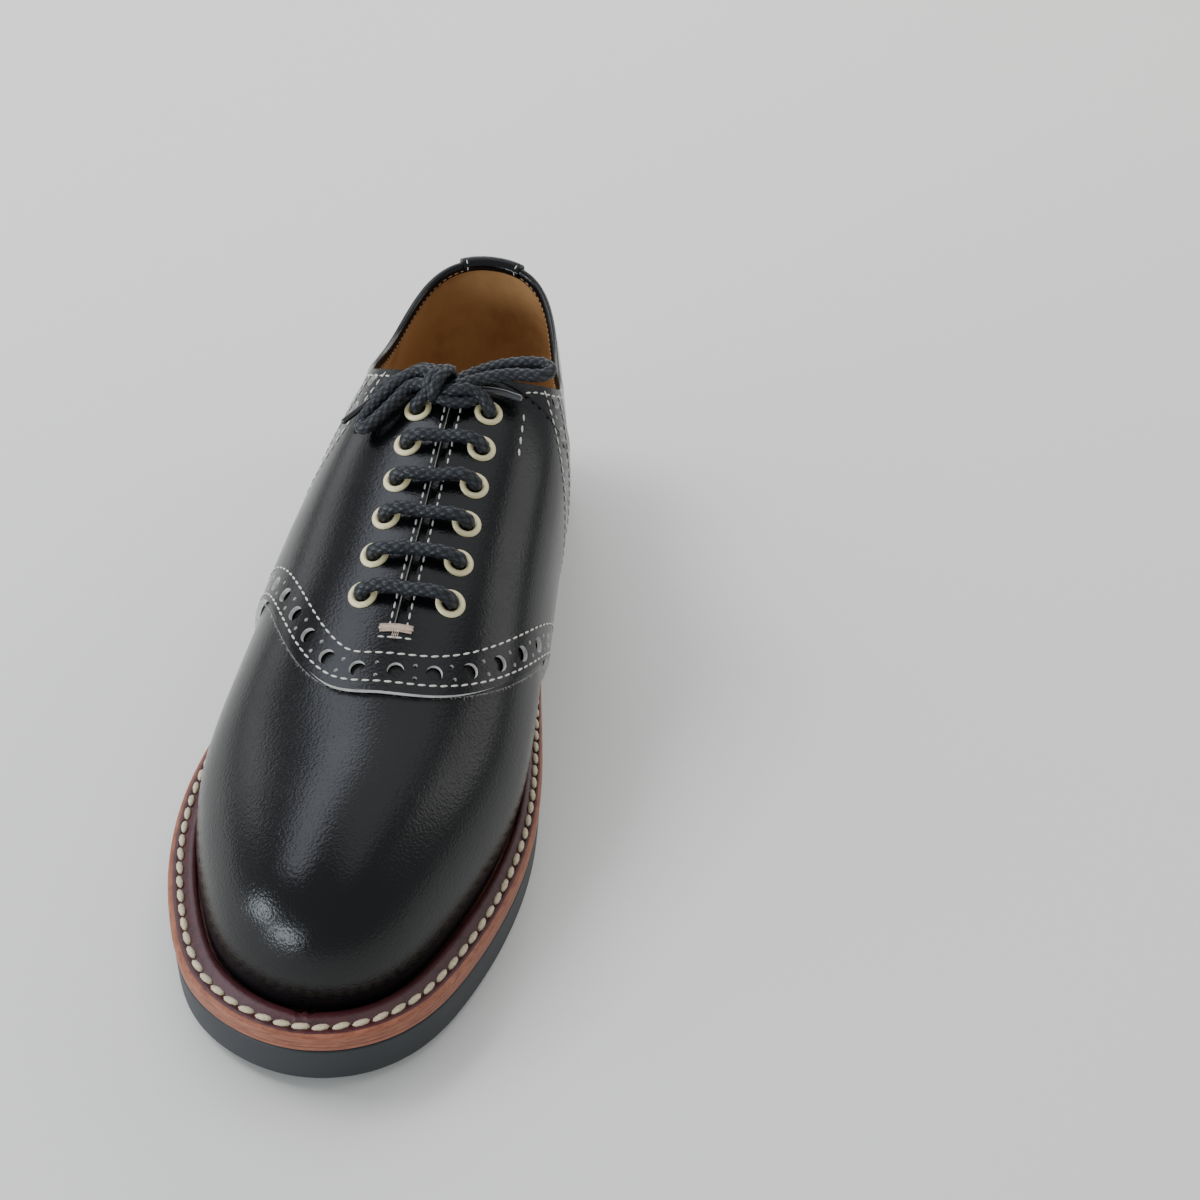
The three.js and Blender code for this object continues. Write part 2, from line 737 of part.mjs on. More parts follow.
// Laces
function cordGeometry(points, diameter, steps) {
  const section = new THREE.Shape();
  const sides = 8;
  for (let k = 0; k < sides; k++) {
    const turn = k / sides * 2 * Math.PI;
    const [x, y] = [Math.cos(turn), Math.sin(turn)].map((c) => c * diameter / 2);
    if (k === 0) section.moveTo(x, y);
    else section.lineTo(x, y);
  }
  const path = new THREE.CatmullRomCurve3(points);
  const tube = new THREE.ExtrudeGeometry(section, { steps, extrudePath: path, curveSegments: 1 });
  const flat = tube.index ? tube.toNonIndexed() : tube;
  const solid = new Solid();
  const p = flat.attributes.position;
  for (let i = 0; i < p.count; i += 3) {
    const [a, b, c] = [0, 1, 2].map((k) => new THREE.Vector3().fromBufferAttribute(p, i + k));
    solid.quad(a, b, c, c, false);
  }
  return solid.geometry();
}

function laceBar(row) {
  const [outer, inner] = [-1, 1].map((side) => eyeletSeat(side, row));
  const y = rowPlace(row);
  const crest = surfaceAt(1, throatX(y) + 0.5, y, saddleTop + gap + laceDiameter / 2 + 0.8).place;
  const rise = (seat, height) => seat.place.clone().addScaledVector(seat.normal, height);
  const shoulder = (seat, side) => {
    const over = surfaceAt(
      side, throatX(y) + side * rowReach(row) * 0.62, y, saddleTop + gap + laceDiameter / 2 + 1.8);
    return over.place;
  };
  return cordGeometry([
    rise(outer, 0.5), rise(outer, 2.8).lerp(shoulder(outer, -1), 0.18), shoulder(outer, -1),
    crest, shoulder(inner, 1), rise(inner, 2.8).lerp(shoulder(inner, 1), 0.18), rise(inner, 0.5),
  ], laceDiameter, 12);
}

// A place in the bow, raised where the saddle would be too near.
function bowPoint([across, alongFoot, above], diameter) {
  const y0 = rowPlace(0);
  const ridge = surfaceAt(1, throatX(y0) + 0.1, y0, 0).place;
  const p = new THREE.Vector3(
    throatX(y0) + across * ballWidth, y0 + alongFoot * ballWidth, ridge.z + above * ballWidth);
  const side = p.x < throatX(p.y) ? -1 : 1;
  const under = surfaceAt(side, p.x, p.y, 0);
  const clearance = (saddleTop + gap + diameter / 2) / under.normal.z;
  p.z = Math.max(p.z, under.place.z + clearance);
  return p;
}

function closedTriangles(geometry) {
  const flat = geometry.index ? geometry.toNonIndexed() : geometry;
  const solid = new Solid();
  const p = flat.attributes.position;
  for (let i = 0; i < p.count; i += 3) {
    const [a, b, c] = [0, 1, 2].map((k) => new THREE.Vector3().fromBufferAttribute(p, i + k));
    solid.quad(a, b, c, c, false);
  }
  return solid.geometry();
}

function laceBow() {
  // Knot, the two strands that rise to it, both loops and both ends are one joined solid.
  const lump = new THREE.SphereGeometry(1, 12, 8);
  lump.scale(...knotSize.map((share) => share * ballWidth));
  const middle = bowPoint(knotPlace, 0);
  lump.translate(middle.x, middle.y, middle.z);
  const inKnot = (side) => {
    const p = middle.clone();
    p.x += side * 0.4 * knotSize[0] * ballWidth;
    return p;
  };
  let bow = toManifold(closedTriangles(lump));
  const join = (points, diameter, steps) => {
    bow = bow.add(toManifold(cordGeometry(points, diameter, steps)));
  };
  for (const side of [-1, 1]) {
    const seat = eyeletSeat(side, 0);
    const rise = (height) => seat.place.clone().addScaledVector(seat.normal, height);
    join([rise(0.2), rise(2.8), rise(1.3 * laceDiameter).lerp(inKnot(side), 0.3), inKnot(side)], laceDiameter, 8);
  }
  const strand = (rows, diameter) => rows.map((row) => bowPoint(row, diameter));
  const tip = laceTip * laceDiameter;
  join([inKnot(-1), ...strand(outerLoopRows, laceDiameter), inKnot(-1)], laceDiameter, 18);
  join([inKnot(1), ...strand(innerLoopRows, laceDiameter), inKnot(1)], laceDiameter, 18);
  join([inKnot(-1), ...strand(outerEndRows, tip)], tip, 10);
  join([inKnot(1), ...strand(innerEndRows, tip)], tip, 7);
  return fromManifold(bow);
}

// Parts and finishes
const finish = (color, roughness) => new THREE.MeshStandardMaterial({ color, roughness, metalness: 0 });
const blackLeather = finish(0x0b0c10, 0.18);
const vampLeather = finish(0x101116, 0.18);
const linedLeather = finish(0x15161a, 0.3);
const blackRubber = finish(0x1f2326, 0.6);
const tanLeather = finish(0xa5683a, 0.5);
const oxbloodLeather = finish(0x4a1a1c, 0.4);
const insoleLeather = finish(0xa9713f, 0.55);
const creamPaint = finish(0xe6dcae, 0.35);
const waxedCord = finish(0x1a2029, 0.6);

const shoe = new THREE.Group();
shoe.name = 'saddle_shoe';

function add(name, geometry, material) {
  const mesh = new THREE.Mesh(geometry, material);
  mesh.name = name;
  shoe.add(mesh);
  return mesh;
}

add('outsole', outsole(), blackRubber);
add('heel', heelBlock(), blackRubber);
add('midsole', midsole(), tanLeather);
add('welt', welt(), oxbloodLeather);
add('insole', insole(), insoleLeather);
add('upper', upper(), vampLeather);
add('saddle', saddle(), blackLeather);
add('tongue', tongue(), linedLeather);
add('back_tab', backTab(), blackLeather);

const upright = new THREE.Vector3(0, 0, 1);
for (let row = 0; row < eyeletRows; row++) {
  for (const side of [-1, 1]) {
    const seat = eyeletSeat(side, row);
    const ring = add(`eyelet_${side < 0 ? 'outer' : 'inner'}_${row + 1}`, eyeletGeometry(), creamPaint);
    ring.position.copy(seat.place);
    ring.quaternion.setFromUnitVectors(upright, seat.normal);
  }
  if (row > 0) add(`lace_bar_${row + 1}`, laceBar(row), waxedCord);
}
add('lace_bow', laceBow(), waxedCord);

// The origin is under the middle of the whole shoe, on the floor.
const box = new THREE.Box3().setFromObject(shoe);
const centre = box.getCenter(new THREE.Vector3());
shoe.position.set(-centre.x, -centre.y, -box.min.z);

export default shoe;
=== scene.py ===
"""Black saddle shoe for the right foot: its looks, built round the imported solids."""

import math

import bmesh
import bpy
import numpy as np
from mathutils import Matrix, Vector
from mathutils.bvhtree import BVHTree


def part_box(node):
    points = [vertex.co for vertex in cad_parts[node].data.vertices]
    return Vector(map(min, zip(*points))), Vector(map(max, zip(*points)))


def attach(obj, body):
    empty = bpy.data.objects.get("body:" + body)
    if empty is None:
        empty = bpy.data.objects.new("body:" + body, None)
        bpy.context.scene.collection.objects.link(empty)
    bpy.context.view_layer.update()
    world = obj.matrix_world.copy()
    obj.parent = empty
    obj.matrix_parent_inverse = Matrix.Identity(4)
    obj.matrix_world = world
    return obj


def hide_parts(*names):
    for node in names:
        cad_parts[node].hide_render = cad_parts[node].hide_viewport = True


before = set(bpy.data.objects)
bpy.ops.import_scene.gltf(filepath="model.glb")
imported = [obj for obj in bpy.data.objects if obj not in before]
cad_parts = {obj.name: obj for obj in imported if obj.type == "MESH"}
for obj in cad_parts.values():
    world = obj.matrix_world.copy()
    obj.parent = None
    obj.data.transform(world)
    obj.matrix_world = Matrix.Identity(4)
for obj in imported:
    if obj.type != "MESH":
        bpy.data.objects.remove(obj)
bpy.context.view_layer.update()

# ---------------------------------------------------------------- sizes, in millimetres
MM = 0.001
SOLE_LENGTH = 300.0
BALL_WIDTH = 106.0
INSTEP_HEIGHT = 78.0
WELT_MARGIN = 9.0
RUBBER = 12.5
MIDSOLE = 3.3
WELT = 2.2
INSOLE = 3.0
HEEL_HEIGHT = 12.0
HEEL_LENGTH = 84.0
TOE_SPRING = 4.0
GAP = 0.3
WALL = 2.0
LINING = 0.8
SADDLE_GAP = 0.45
SADDLE_WALL = 1.4
SADDLE_TOP = SADDLE_GAP + SADDLE_WALL
LACE = 3.85
EYELET = 8.7
EYELET_BORE = 4.7

# The last, a row a section from toe to heel: the same sections as the solids stand on.
LAST_COLUMNS = (
    "station centre turn width axis lean tilt height rise crown outer inner margin"
).split()
LAST_ROWS = (
    (0.00, 0.000, 0, 0.000, -0.064, 0.000, 0.00, 0.000, 0.55, 0.55, 0.000, 0.000, 1.00),
    (0.01, 0.010, 0, 0.241, -0.065, 0.010, 0.00, 0.218, 0.55, 0.55, 0.000, 0.000, 1.00),
    (0.04, 0.040, 0, 0.454, -0.073, 0.022, 0.00, 0.378, 0.55, 0.55, 0.000, 0.000, 1.00),
    (0.09, 0.090, 0, 0.610, -0.076, 0.036, 0.00, 0.474, 0.54, 0.54, 0.020, 0.015, 0.97),
    (0.16, 0.160, 0, 0.745, -0.076, 0.053, 0.01, 0.545, 0.54, 0.54, 0.050, 0.045, 0.92),
    (0.25, 0.250, 0, 0.825, -0.071, 0.064, 0.03, 0.620, 0.55, 0.56, 0.090, 0.090, 0.82),
    (0.36, 0.360, 0, 0.795, -0.062, 0.070, 0.05, 0.780, 0.60, 0.60, 0.105, 0.130, 0.70),
    (0.49, 0.490, 0, 0.710, -0.045, 0.074, 0.09, 0.930, 0.66, 0.68, 0.130, 0.165, 0.50),
    (0.64, 0.640, 0, 0.630, -0.015, 0.062, 0.09, 1.025, 0.66, 0.77, 0.115, 0.165, 0.40),
    (0.74, 0.7513, 1, 0.630, -0.010, 0.040, 0.035, 1.085, 0.56, 0.76, 0.085, 0.085, 0.38),
    (0.82, 0.8278, 7, 0.640, -0.006, 0.012, 0.00, 1.122, 0.42, 0.68, 0.035, 0.030, 0.38),
    (0.88, 0.8678, 28, 0.645, -0.002, 0.000, 0.00, 1.150, 0.36, 0.68, 0.030, 0.025, 0.38),
    (0.94, 0.8800, 59, 0.650, 0.000, 0.000, 0.00, 1.160, 0.39, 0.74, 0.050, 0.050, 0.38),
    (1.00, 0.8810, 90, 0.650, 0.000, 0.000, 0.00, 1.165, 0.40, 0.75, 0.055, 0.055, 0.38),
)
# Top edge from the side: place as a share of the sole's length, height in mm.
TOP_EDGE = (
    (0.587, 107.0), (0.613, 101.7), (0.643, 95.7), (0.673, 90.0), (0.713, 83.3), (0.753, 79.0),
    (0.793, 76.8), (0.833, 76.6), (0.883, 79.3), (0.933, 84.6), (0.973, 89.7), (1.000, 92.0),
)
# Saddle edges: share of the wall's height, station at the outer and at the inner side.
SADDLE_FRONT = (
    (0.0, 0.425, 0.430), (0.2, 0.415, 0.408), (0.4, 0.388, 0.342), (0.6, 0.313, 0.284),
    (0.8, 0.254, 0.253), (1.0, 0.246, 0.246),
)
SADDLE_REAR = (
    (0.0, 0.555, 0.560), (0.4, 0.574, 0.580), (0.7, 0.604, 0.610), (1.0, 0.655, 0.655),
    (1.3, 0.722, 0.715),
)
THROAT = ((0.327, 0.003), (0.595, 0.045))
THROAT_WIDTH = 2.6
EYELET_ROWS = 6
EYELETS_ALONG = (0.564, 0.360)
EYELETS_ACROSS = (0.097, 0.112)


def unit(vectors):
    """Vectors of length one, a row each."""
    return vectors / np.linalg.norm(vectors, axis=-1, keepdims=True)


def run_of(points):
    """How far along its line each point lies."""
    return np.r_[0, np.cumsum(np.linalg.norm(np.diff(points, axis=0), axis=1))]


def add_object(name, data):
    made = bpy.data.objects.new(name, data)
    bpy.context.scene.collection.objects.link(made)
    return made


# ---------------------------------------------------------------- the last
def spline(xs, ys, flat_start=False, flat_end=False):
    """Cubic spline; an end that isn't flat is left without bend."""
    xs, ys = np.asarray(xs, float), np.asarray(ys, float)
    n = len(xs)
    h = np.diff(xs)
    d = np.diff(ys) / h
    a = np.eye(n)
    b = np.zeros(n)
    for i in range(1, n - 1):
        a[i, i - 1 : i + 2] = h[i - 1], 2 * (h[i - 1] + h[i]), h[i]
        b[i] = 6 * (d[i] - d[i - 1])
    if flat_start:
        a[0, :2] = 2 * h[0], h[0]
        b[0] = 6 * d[0]
    if flat_end:
        a[-1, -2:] = h[-1], 2 * h[-1]
        b[-1] = -6 * d[-1]
    bend = np.linalg.solve(a, b)

    def value(x):
        x = np.asarray(x, float)
        i = np.clip(np.searchsorted(xs, x) - 1, 0, n - 2)
        p, q = (xs[i + 1] - x) / h[i], (x - xs[i]) / h[i]
        curve = ((p**3 - p) * bend[i] + (q**3 - q) * bend[i + 1]) * h[i] ** 2 / 6
        return p * ys[i] + q * ys[i + 1] + curve

    return value


LENGTHWAYS = [math.sqrt(row[0]) for row in LAST_ROWS]
LAST = {
    name: spline(
        LENGTHWAYS,
        [row[k] for row in LAST_ROWS],
        name not in ("width", "lean", "tilt", "height"),
        name != "turn",
    )
    for k, name in enumerate(LAST_COLUMNS)
    if k > 0
}
FRONT = -SOLE_LENGTH / 2
LAST_LENGTH = SOLE_LENGTH - WELT_MARGIN * (1 + float(LAST["margin"](1.0)))
LAST_FRONT = FRONT + WELT_MARGIN
MIDSOLE_BASE = RUBBER + GAP
FEATHER = MIDSOLE_BASE + MIDSOLE + GAP
FLAT_FRONT, FLAT_BACK = FRONT + 0.25 * SOLE_LENGTH, FRONT + 0.383 * SOLE_LENGTH
HEEL_BREAST = SOLE_LENGTH / 2 - HEEL_LENGTH
_top = spline([FRONT + s * SOLE_LENGTH for s, _ in TOP_EDGE], [z for _, z in TOP_EDGE])
TOP_START = FRONT + TOP_EDGE[0][0] * SOLE_LENGTH


def lift(y):
    y = np.asarray(y, float)
    toe = np.clip((FLAT_FRONT - y) / (FLAT_FRONT - FRONT), 0, None) ** 2.2
    s = np.clip((y - FLAT_BACK) / (HEEL_BREAST - 4 - FLAT_BACK), 0, 1)
    return TOE_SPRING * toe + HEEL_HEIGHT * (6 * s**5 - 15 * s**4 + 10 * s**3)


def feather(y):
    return lift(y) + FEATHER


def top_edge(y):
    y = np.asarray(y, float)
    return np.where(y < TOP_START, 1e6, _top(y))


def controls(side, t):
    """The four points of each section's curve, from the feather line to the ridge."""
    y = LAST_FRONT + LAST_LENGTH * LAST["centre"](t)
    turn = np.radians(LAST["turn"](t))
    ex, ey = side * np.cos(turn), np.sin(turn)
    middle = LAST["axis"](t) * BALL_WIDTH
    half = LAST["width"](t) * BALL_WIDTH / 2
    height = LAST["height"](t) * INSTEP_HEIGHT
    swell = np.where(side < 0, LAST["outer"](t), LAST["inner"](t)) * BALL_WIDTH
    spread = LAST["crown"](t) * half
    z = feather(y + ey * half)
    ridge_x, ridge_z = middle + LAST["lean"](t) * BALL_WIDTH, feather(y) + height
    wide = half + swell
    return (
        np.stack([middle + ex * half, y + ey * half, z], -1),
        np.stack([middle + ex * wide, y + ey * wide, z + LAST["rise"](t) * height], -1),
        np.stack(
            [ridge_x + ex * spread, y + ey * spread, ridge_z + side * LAST["tilt"](t) * spread], -1
        ),
        np.stack([ridge_x, y, ridge_z], -1),
    )


def last_point(side, t, v):
    side, t, v = np.broadcast_arrays(*(np.asarray(x, float) for x in (side, t, v)))
    a, b, c, d = controls(side, t)
    v = v[..., None]
    u = 1 - v
    return u**3 * a + 3 * u * u * v * b + 3 * u * v * v * c + v**3 * d


def _side_normal(side, t, v):
    a, b, c, d = controls(side, t)
    w = v[..., None]
    u = 1 - w
    across = (b - a) * u * u + (c - b) * 2 * u * w + (d - c) * w * w
    step = 1e-4
    near, far = np.clip(t - step, 1e-7, 1), np.clip(t + step, 0, 1)
    along = last_point(side, far, v) - last_point(side, near, v)
    n = np.cross(along, across) * side[..., None]
    return n / (np.linalg.norm(n, axis=-1, keepdims=True) + 1e-12)


def last_normal(side, t, v):
    """Outward normal; the two sides share one along the ridge."""
    side, t, v = np.broadcast_arrays(*(np.asarray(x, float) for x in (side, t, v)))
    own = _side_normal(side, t, v)
    one = np.ones_like(v)
    ridge = unit(_side_normal(-one, t, one) + _side_normal(one, t, one))
    near = np.clip((v - 0.94) / 0.06, 0, 1)[..., None] ** 2
    n = own * (1 - near) + ridge * near
    return unit(np.where((t <= 1e-6)[..., None], np.array([0.0, -1.0, 0.0]), n))


def share_where(side, t, above, low=0.0):
    """Share of the profile at which above(point) first holds."""
    t = np.asarray(t, float)
    lo, hi = np.full(t.shape, low), np.ones(t.shape)
    never = ~above(last_point(side, t, hi))
    for _ in range(34):
        v = (lo + hi) / 2
        up = above(last_point(side, t, v))
        hi, lo = np.where(up, v, hi), np.where(up, lo, v)
    return np.where(never, 1.0, (lo + hi) / 2)


def find_throat_end():
    lo, hi = math.sqrt(0.5), math.sqrt(0.72)
    for _ in range(40):
        t = (lo + hi) / 2
        p = last_point(1, t, 1)
        lo, hi = (lo, t) if p[2] > top_edge(p[1]) else (t, hi)
    return (lo + hi) / 2


THROAT_END = find_throat_end()
_ts = np.r_[0, THROAT_END, np.linspace(THROAT_END + 1e-7, 1, 500)]
_tops = {}
for _side in (-1, 1):
    _v = share_where(_side, _ts, lambda p: p[..., 2] > top_edge(p[..., 1]))
    _v[:2] = 1
    _tops[_side] = _v


def top_share(side, t):
    return np.where(side < 0, np.interp(t, _ts, _tops[-1]), np.interp(t, _ts, _tops[1]))


# A place on the shoe is t, from toe to heel, and q, from the outer foot line at -1 over the
# ridge or top edge at 0 to the inner foot line at 1.
def skin(t, q, off=0.0):
    t, q = np.broadcast_arrays(np.asarray(t, float), np.asarray(q, float))
    side = np.where(q < 0, -1.0, 1.0)
    v = (1 - np.abs(q)) * top_share(side, t)
    return last_point(side, t, v) + last_normal(side, t, v) * np.asarray(off)[..., None]


def skin_normal(t, q):
    t, q = np.broadcast_arrays(np.asarray(t, float), np.asarray(q, float))
    side = np.where(q < 0, -1.0, 1.0)
    return last_normal(side, t, (1 - np.abs(q)) * top_share(side, t))


def skin_at(x, y, side):
    """t and q of the place under (x, y) near the top."""
    t = math.sqrt((y - LAST_FRONT) / LAST_LENGTH)
    lo, hi = 0.3, 1.0
    for _ in range(40):
        v = (lo + hi) / 2
        inside = last_point(side, t, v)[0] * side < x * side
        lo, hi = (lo, v) if inside else (v, hi)
    return t, side * (1 - (lo + hi) / 2 / float(top_share(side, t)))


def feather_line(side, t, outwards):
    """The feather line in plan, moved outwards along its own normal."""
    t = np.asarray(t, float)
    step = 1e-4
    p = last_point(side, t, 0.0)
    d = last_point(side, np.clip(t + step, 0, 1), 0.0) - last_point(side, np.clip(t - step, 0, 1), 0.0)
    n = np.stack([d[..., 1] * side, -d[..., 0] * side, 0 * t], -1)
    n = np.where((t <= 1e-6)[..., None], np.array([0.0, -1.0, 0.0]), n)
    n = unit(np.where((t >= 1 - 1e-6)[..., None], np.array([0.0, 1.0, 0.0]), n))
    return p + n * np.asarray(outwards)[..., None]


ROUND = 240
_half = (1 - np.cos(np.linspace(0, math.pi, ROUND // 2 + 1))) / 2
LOOP_T = np.r_[_half, _half[-2:0:-1]]
LOOP_SIDE = np.r_[-np.ones(ROUND // 2 + 1), np.ones(ROUND // 2 - 1)]


def loop(outwards):
    """A closed outline round the foot line: toe, outer side, heel, inner side."""
    out = np.broadcast_to(outwards, LOOP_T.shape)
    low = feather_line(-1, LOOP_T, out)
    high = feather_line(1, LOOP_T, out)
    return np.where((LOOP_SIDE < 0)[:, None], low, high)


SOLE_MARGIN = LAST["margin"](LOOP_T) * WELT_MARGIN
_outline = loop(SOLE_MARGIN)
_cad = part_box("outsole")
SHIFT = (
    np.array([(_cad[0][k] + _cad[1][k]) / 2 / MM for k in (0, 1)] + [0.0])
    - np.r_[(_outline[:, :2].min(0) + _outline[:, :2].max(0)) / 2, 0.0]
)


def metres(points):
    return (np.asarray(points, float) + SHIFT) * MM


# ---------------------------------------------------------------- camera
FOCAL = 1402.6
PICTURE = 1200.0
PITCH, ROLL, TURN = 0.68932, 0.10756, -0.00645
STAND = (-54.53, 342.50, -329.73)


def make_camera():
    """The camera looks down at the toe, a little rolled, from a third of a metre up."""
    back = Matrix.Rotation(-TURN, 3, "Z")
    right, up = Vector((1, 0, 0)), Vector((0, math.sin(PITCH), math.cos(PITCH)))
    ahead = Vector((0, math.cos(PITCH), -math.sin(PITCH)))
    c, s = math.cos(ROLL), math.sin(ROLL)
    axes = [back @ a for a in (right * c + up * s, up * c - right * s, -ahead)]
    turn = Matrix(axes).transposed().to_4x4()
    place = back @ -Vector(STAND)
    data = bpy.data.cameras.new("camera")
    data.sensor_width = 36
    data.lens = FOCAL / PICTURE * data.sensor_width
    data.clip_start, data.clip_end = 0.02, 50
    camera = add_object("camera", data)
    camera.matrix_world = Matrix.Translation(Vector(metres(place))) @ turn
    bpy.context.scene.camera = camera


make_camera()


# ---------------------------------------------------------------- node helpers
def feed(tree, socket, value):
    """Gives a socket its value, or links it to the socket that has it."""
    if isinstance(value, bpy.types.NodeSocket):
        tree.links.new(value, socket)
    elif value is not None:
        socket.default_value = value


def put(tree, kind, inputs=(), **settings):
    node = tree.nodes.new(kind)
    for name, value in settings.items():
        setattr(node, name, value)
    for key, value in dict(inputs).items():
        feed(tree, node.inputs[key], value)
    return node


def sum_of(tree, a, b, op="ADD"):
    return put(tree, "ShaderNodeMath", {0: a, 1: b}, operation=op).outputs[0]


def times(tree, a, b):
    return sum_of(tree, a, b, "MULTIPLY")


def vector_sum(tree, a, b, op="ADD"):
    values = {0: a, "Scale" if op == "SCALE" else 1: b}
    return put(tree, "ShaderNodeVectorMath", values, operation=op).outputs[0]


def mix_colour(tree, share, a, b):
    a, b = (c if isinstance(c, bpy.types.NodeSocket) else (*c, 1) for c in (a, b))
    return put(tree, "ShaderNodeMix", {0: share, 6: a, 7: b}, data_type="RGBA").outputs[2]


def ramp(tree, share, low, high, start=0.0, end=1.0):
    """Maps share from low..high to start..end, eased and clamped."""
    values = {0: share, 1: low, 2: high, 3: start, 4: end}
    return put(tree, "ShaderNodeMapRange", values, interpolation_type="SMOOTHSTEP").outputs[0]


def noise(tree, where, scale, detail=4.0, rough=0.55, distortion=0.0):
    values = {"Vector": where, "Scale": scale, "Detail": detail, "Roughness": rough}
    return put(tree, "ShaderNodeTexNoise", {**values, "Distortion": distortion}).outputs[0]


def node_tree(kind, name, inputs, outputs):
    tree = bpy.data.node_groups.new(name, kind)
    for label, socket_type, value in inputs:
        socket = tree.interface.new_socket(label, in_out="INPUT", socket_type=socket_type)
        if value is not None:
            socket.default_value = value
    for label, socket_type in outputs:
        tree.interface.new_socket(label, in_out="OUTPUT", socket_type=socket_type)
    return tree, put(tree, "NodeGroupInput").outputs, put(tree, "NodeGroupOutput").inputs


FLOAT, WHOLE, VECTOR = "NodeSocketFloat", "NodeSocketInt", "NodeSocketVector"


def make_grain():
    """Pores and fine wrinkles of finished leather, as a height and a mask."""
    tree, given, made = node_tree(
        "ShaderNodeTree", "leather_grain",
        [("Where", VECTOR, None), ("Size mm", FLOAT, 0.6), ("Wrinkle", FLOAT, 0.5)],
        [("Height", FLOAT), ("Mask", FLOAT)],
    )
    where = given["Where"]
    scale = sum_of(tree, 1000.0, given["Size mm"], "DIVIDE")
    cells = put(tree, "ShaderNodeTexVoronoi", {"Vector": where, "Scale": scale}, feature="SMOOTH_F1")
    fine = noise(tree, where, times(tree, scale, 0.7), 5, 0.6, 0.6)
    broad = noise(tree, where, times(tree, scale, 0.06), 3, 0.5)
    pores = times(tree, cells.outputs["Distance"], -0.5)
    creased = sum_of(tree, pores, times(tree, fine, given["Wrinkle"]))
    feed(tree, made["Height"], sum_of(tree, creased, times(tree, broad, 0.5)))
    feed(tree, made["Mask"], broad)
    return tree


def make_wear():
    """Scuffs and dust: a mask of soft patches."""
    tree, given, made = node_tree(
        "ShaderNodeTree", "soft_wear",
        [("Where", VECTOR, None), ("Patch mm", FLOAT, 20.0), ("Amount", FLOAT, 0.5)],
        [("Mask", FLOAT)],
    )
    scale = sum_of(tree, 1000.0, given["Patch mm"], "DIVIDE")
    patch = noise(tree, given["Where"], scale, 6, 0.62, 0.3)
    low = sum_of(tree, 0.75, times(tree, given["Amount"], 0.4), "SUBTRACT")
    feed(tree, made["Mask"], ramp(tree, patch, low, 0.85))
    return tree


GRAIN, WEAR = make_grain(), make_wear()


def new_material(name, base, roughness, **sockets):
    material = bpy.data.materials.new(name)
    material.use_nodes = True
    tree = material.node_tree
    shader = tree.nodes["Principled BSDF"]
    shader.inputs["Base Color"].default_value = (*base, 1)
    shader.inputs["Roughness"].default_value = roughness
    for label, value in sockets.items():
        shader.inputs[label.replace("_", " ")].default_value = value
    where = put(tree, "ShaderNodeTexCoord").outputs["Object"]
    return material, tree, shader, where


def use(tree, group, **inputs):
    values = {label.replace("_", " "): value for label, value in inputs.items()}
    return put(tree, "ShaderNodeGroup", values, node_tree=group).outputs


def finish(made, colour, height, strength, depth_mm):
    """Gives a material its colour and its relief."""
    material, tree, shader, _ = made
    feed(tree, shader.inputs["Base Color"], colour)
    relief = {"Height": height, "Strength": strength, "Distance": depth_mm * MM}
    feed(tree, shader.inputs["Normal"], put(tree, "ShaderNodeBump", relief).outputs[0])
    return material


def polished_leather(name, base, roughness, grain_mm, depth):
    made = new_material(name, base, roughness, Coat_Weight=0.0, Specular_IOR_Level=0.34)
    _, tree, shader, where = made
    grain = use(tree, GRAIN, Where=where, Size_mm=grain_mm, Wrinkle=0.6)
    wear = use(tree, WEAR, Where=where, Patch_mm=26.0, Amount=0.5)
    tint = mix_colour(tree, wear["Mask"], base, (base[0] * 1.6, base[1] * 1.6, base[2] * 1.7))
    rough = ramp(tree, grain["Mask"], 0.3, 0.7, roughness * 0.85, roughness * 1.2)
    feed(tree, shader.inputs["Roughness"], rough)
    return finish(made, tint, grain["Height"], 0.9, depth)


def plain_leather(name, dark, light, roughness, grain_mm, depth, patch_mm):
    made = new_material(name, light, roughness)
    _, tree, _, where = made
    grain = use(tree, GRAIN, Where=where, Size_mm=grain_mm, Wrinkle=0.8)
    wear = use(tree, WEAR, Where=where, Patch_mm=patch_mm, Amount=0.8)
    return finish(made, mix_colour(tree, wear["Mask"], light, dark), grain["Height"], 0.4, depth)


def cut_edge(name, dark, light, layers_per_mm):
    """Edge of stacked leather: thin layers along the shoe, stained in streaks."""
    made = new_material(name, light, 0.5)
    _, tree, _, where = made
    stretch = put(tree, "ShaderNodeMapping", {"Vector": where, "Scale": (0.12, 0.12, 1.0)})
    streak = noise(tree, stretch.outputs[0], layers_per_mm * 1000, 6, 0.65, 0.2)
    wear = use(tree, WEAR, Where=where, Patch_mm=14.0, Amount=0.9)
    colour = mix_colour(tree, ramp(tree, streak, 0.3, 0.68), dark, light)
    colour = mix_colour(tree, times(tree, wear["Mask"], 0.45), colour, dark)
    return finish(made, colour, streak, 0.35, 0.06)


def rubber(name, base, roughness):
    made = new_material(name, base, roughness)
    _, tree, _, where = made
    speck = noise(tree, where, 1800, 5, 0.6)
    wear = use(tree, WEAR, Where=where, Patch_mm=30.0, Amount=0.7)
    colour = mix_colour(tree, times(tree, wear["Mask"], 0.6), base, [c * 1.5 for c in base])
    return finish(made, colour, speck, 0.35, 0.08)


def thread(name, base, roughness=0.7, turns_mm=0.5):
    made = new_material(name, base, roughness)
    _, tree, _, where = made
    twist = noise(tree, where, 1000 / turns_mm, 3, 0.5)
    colour = mix_colour(tree, ramp(tree, twist, 0.3, 0.7), [c * 0.72 for c in base], base)
    return finish(made, colour, twist, 0.5, 0.1)


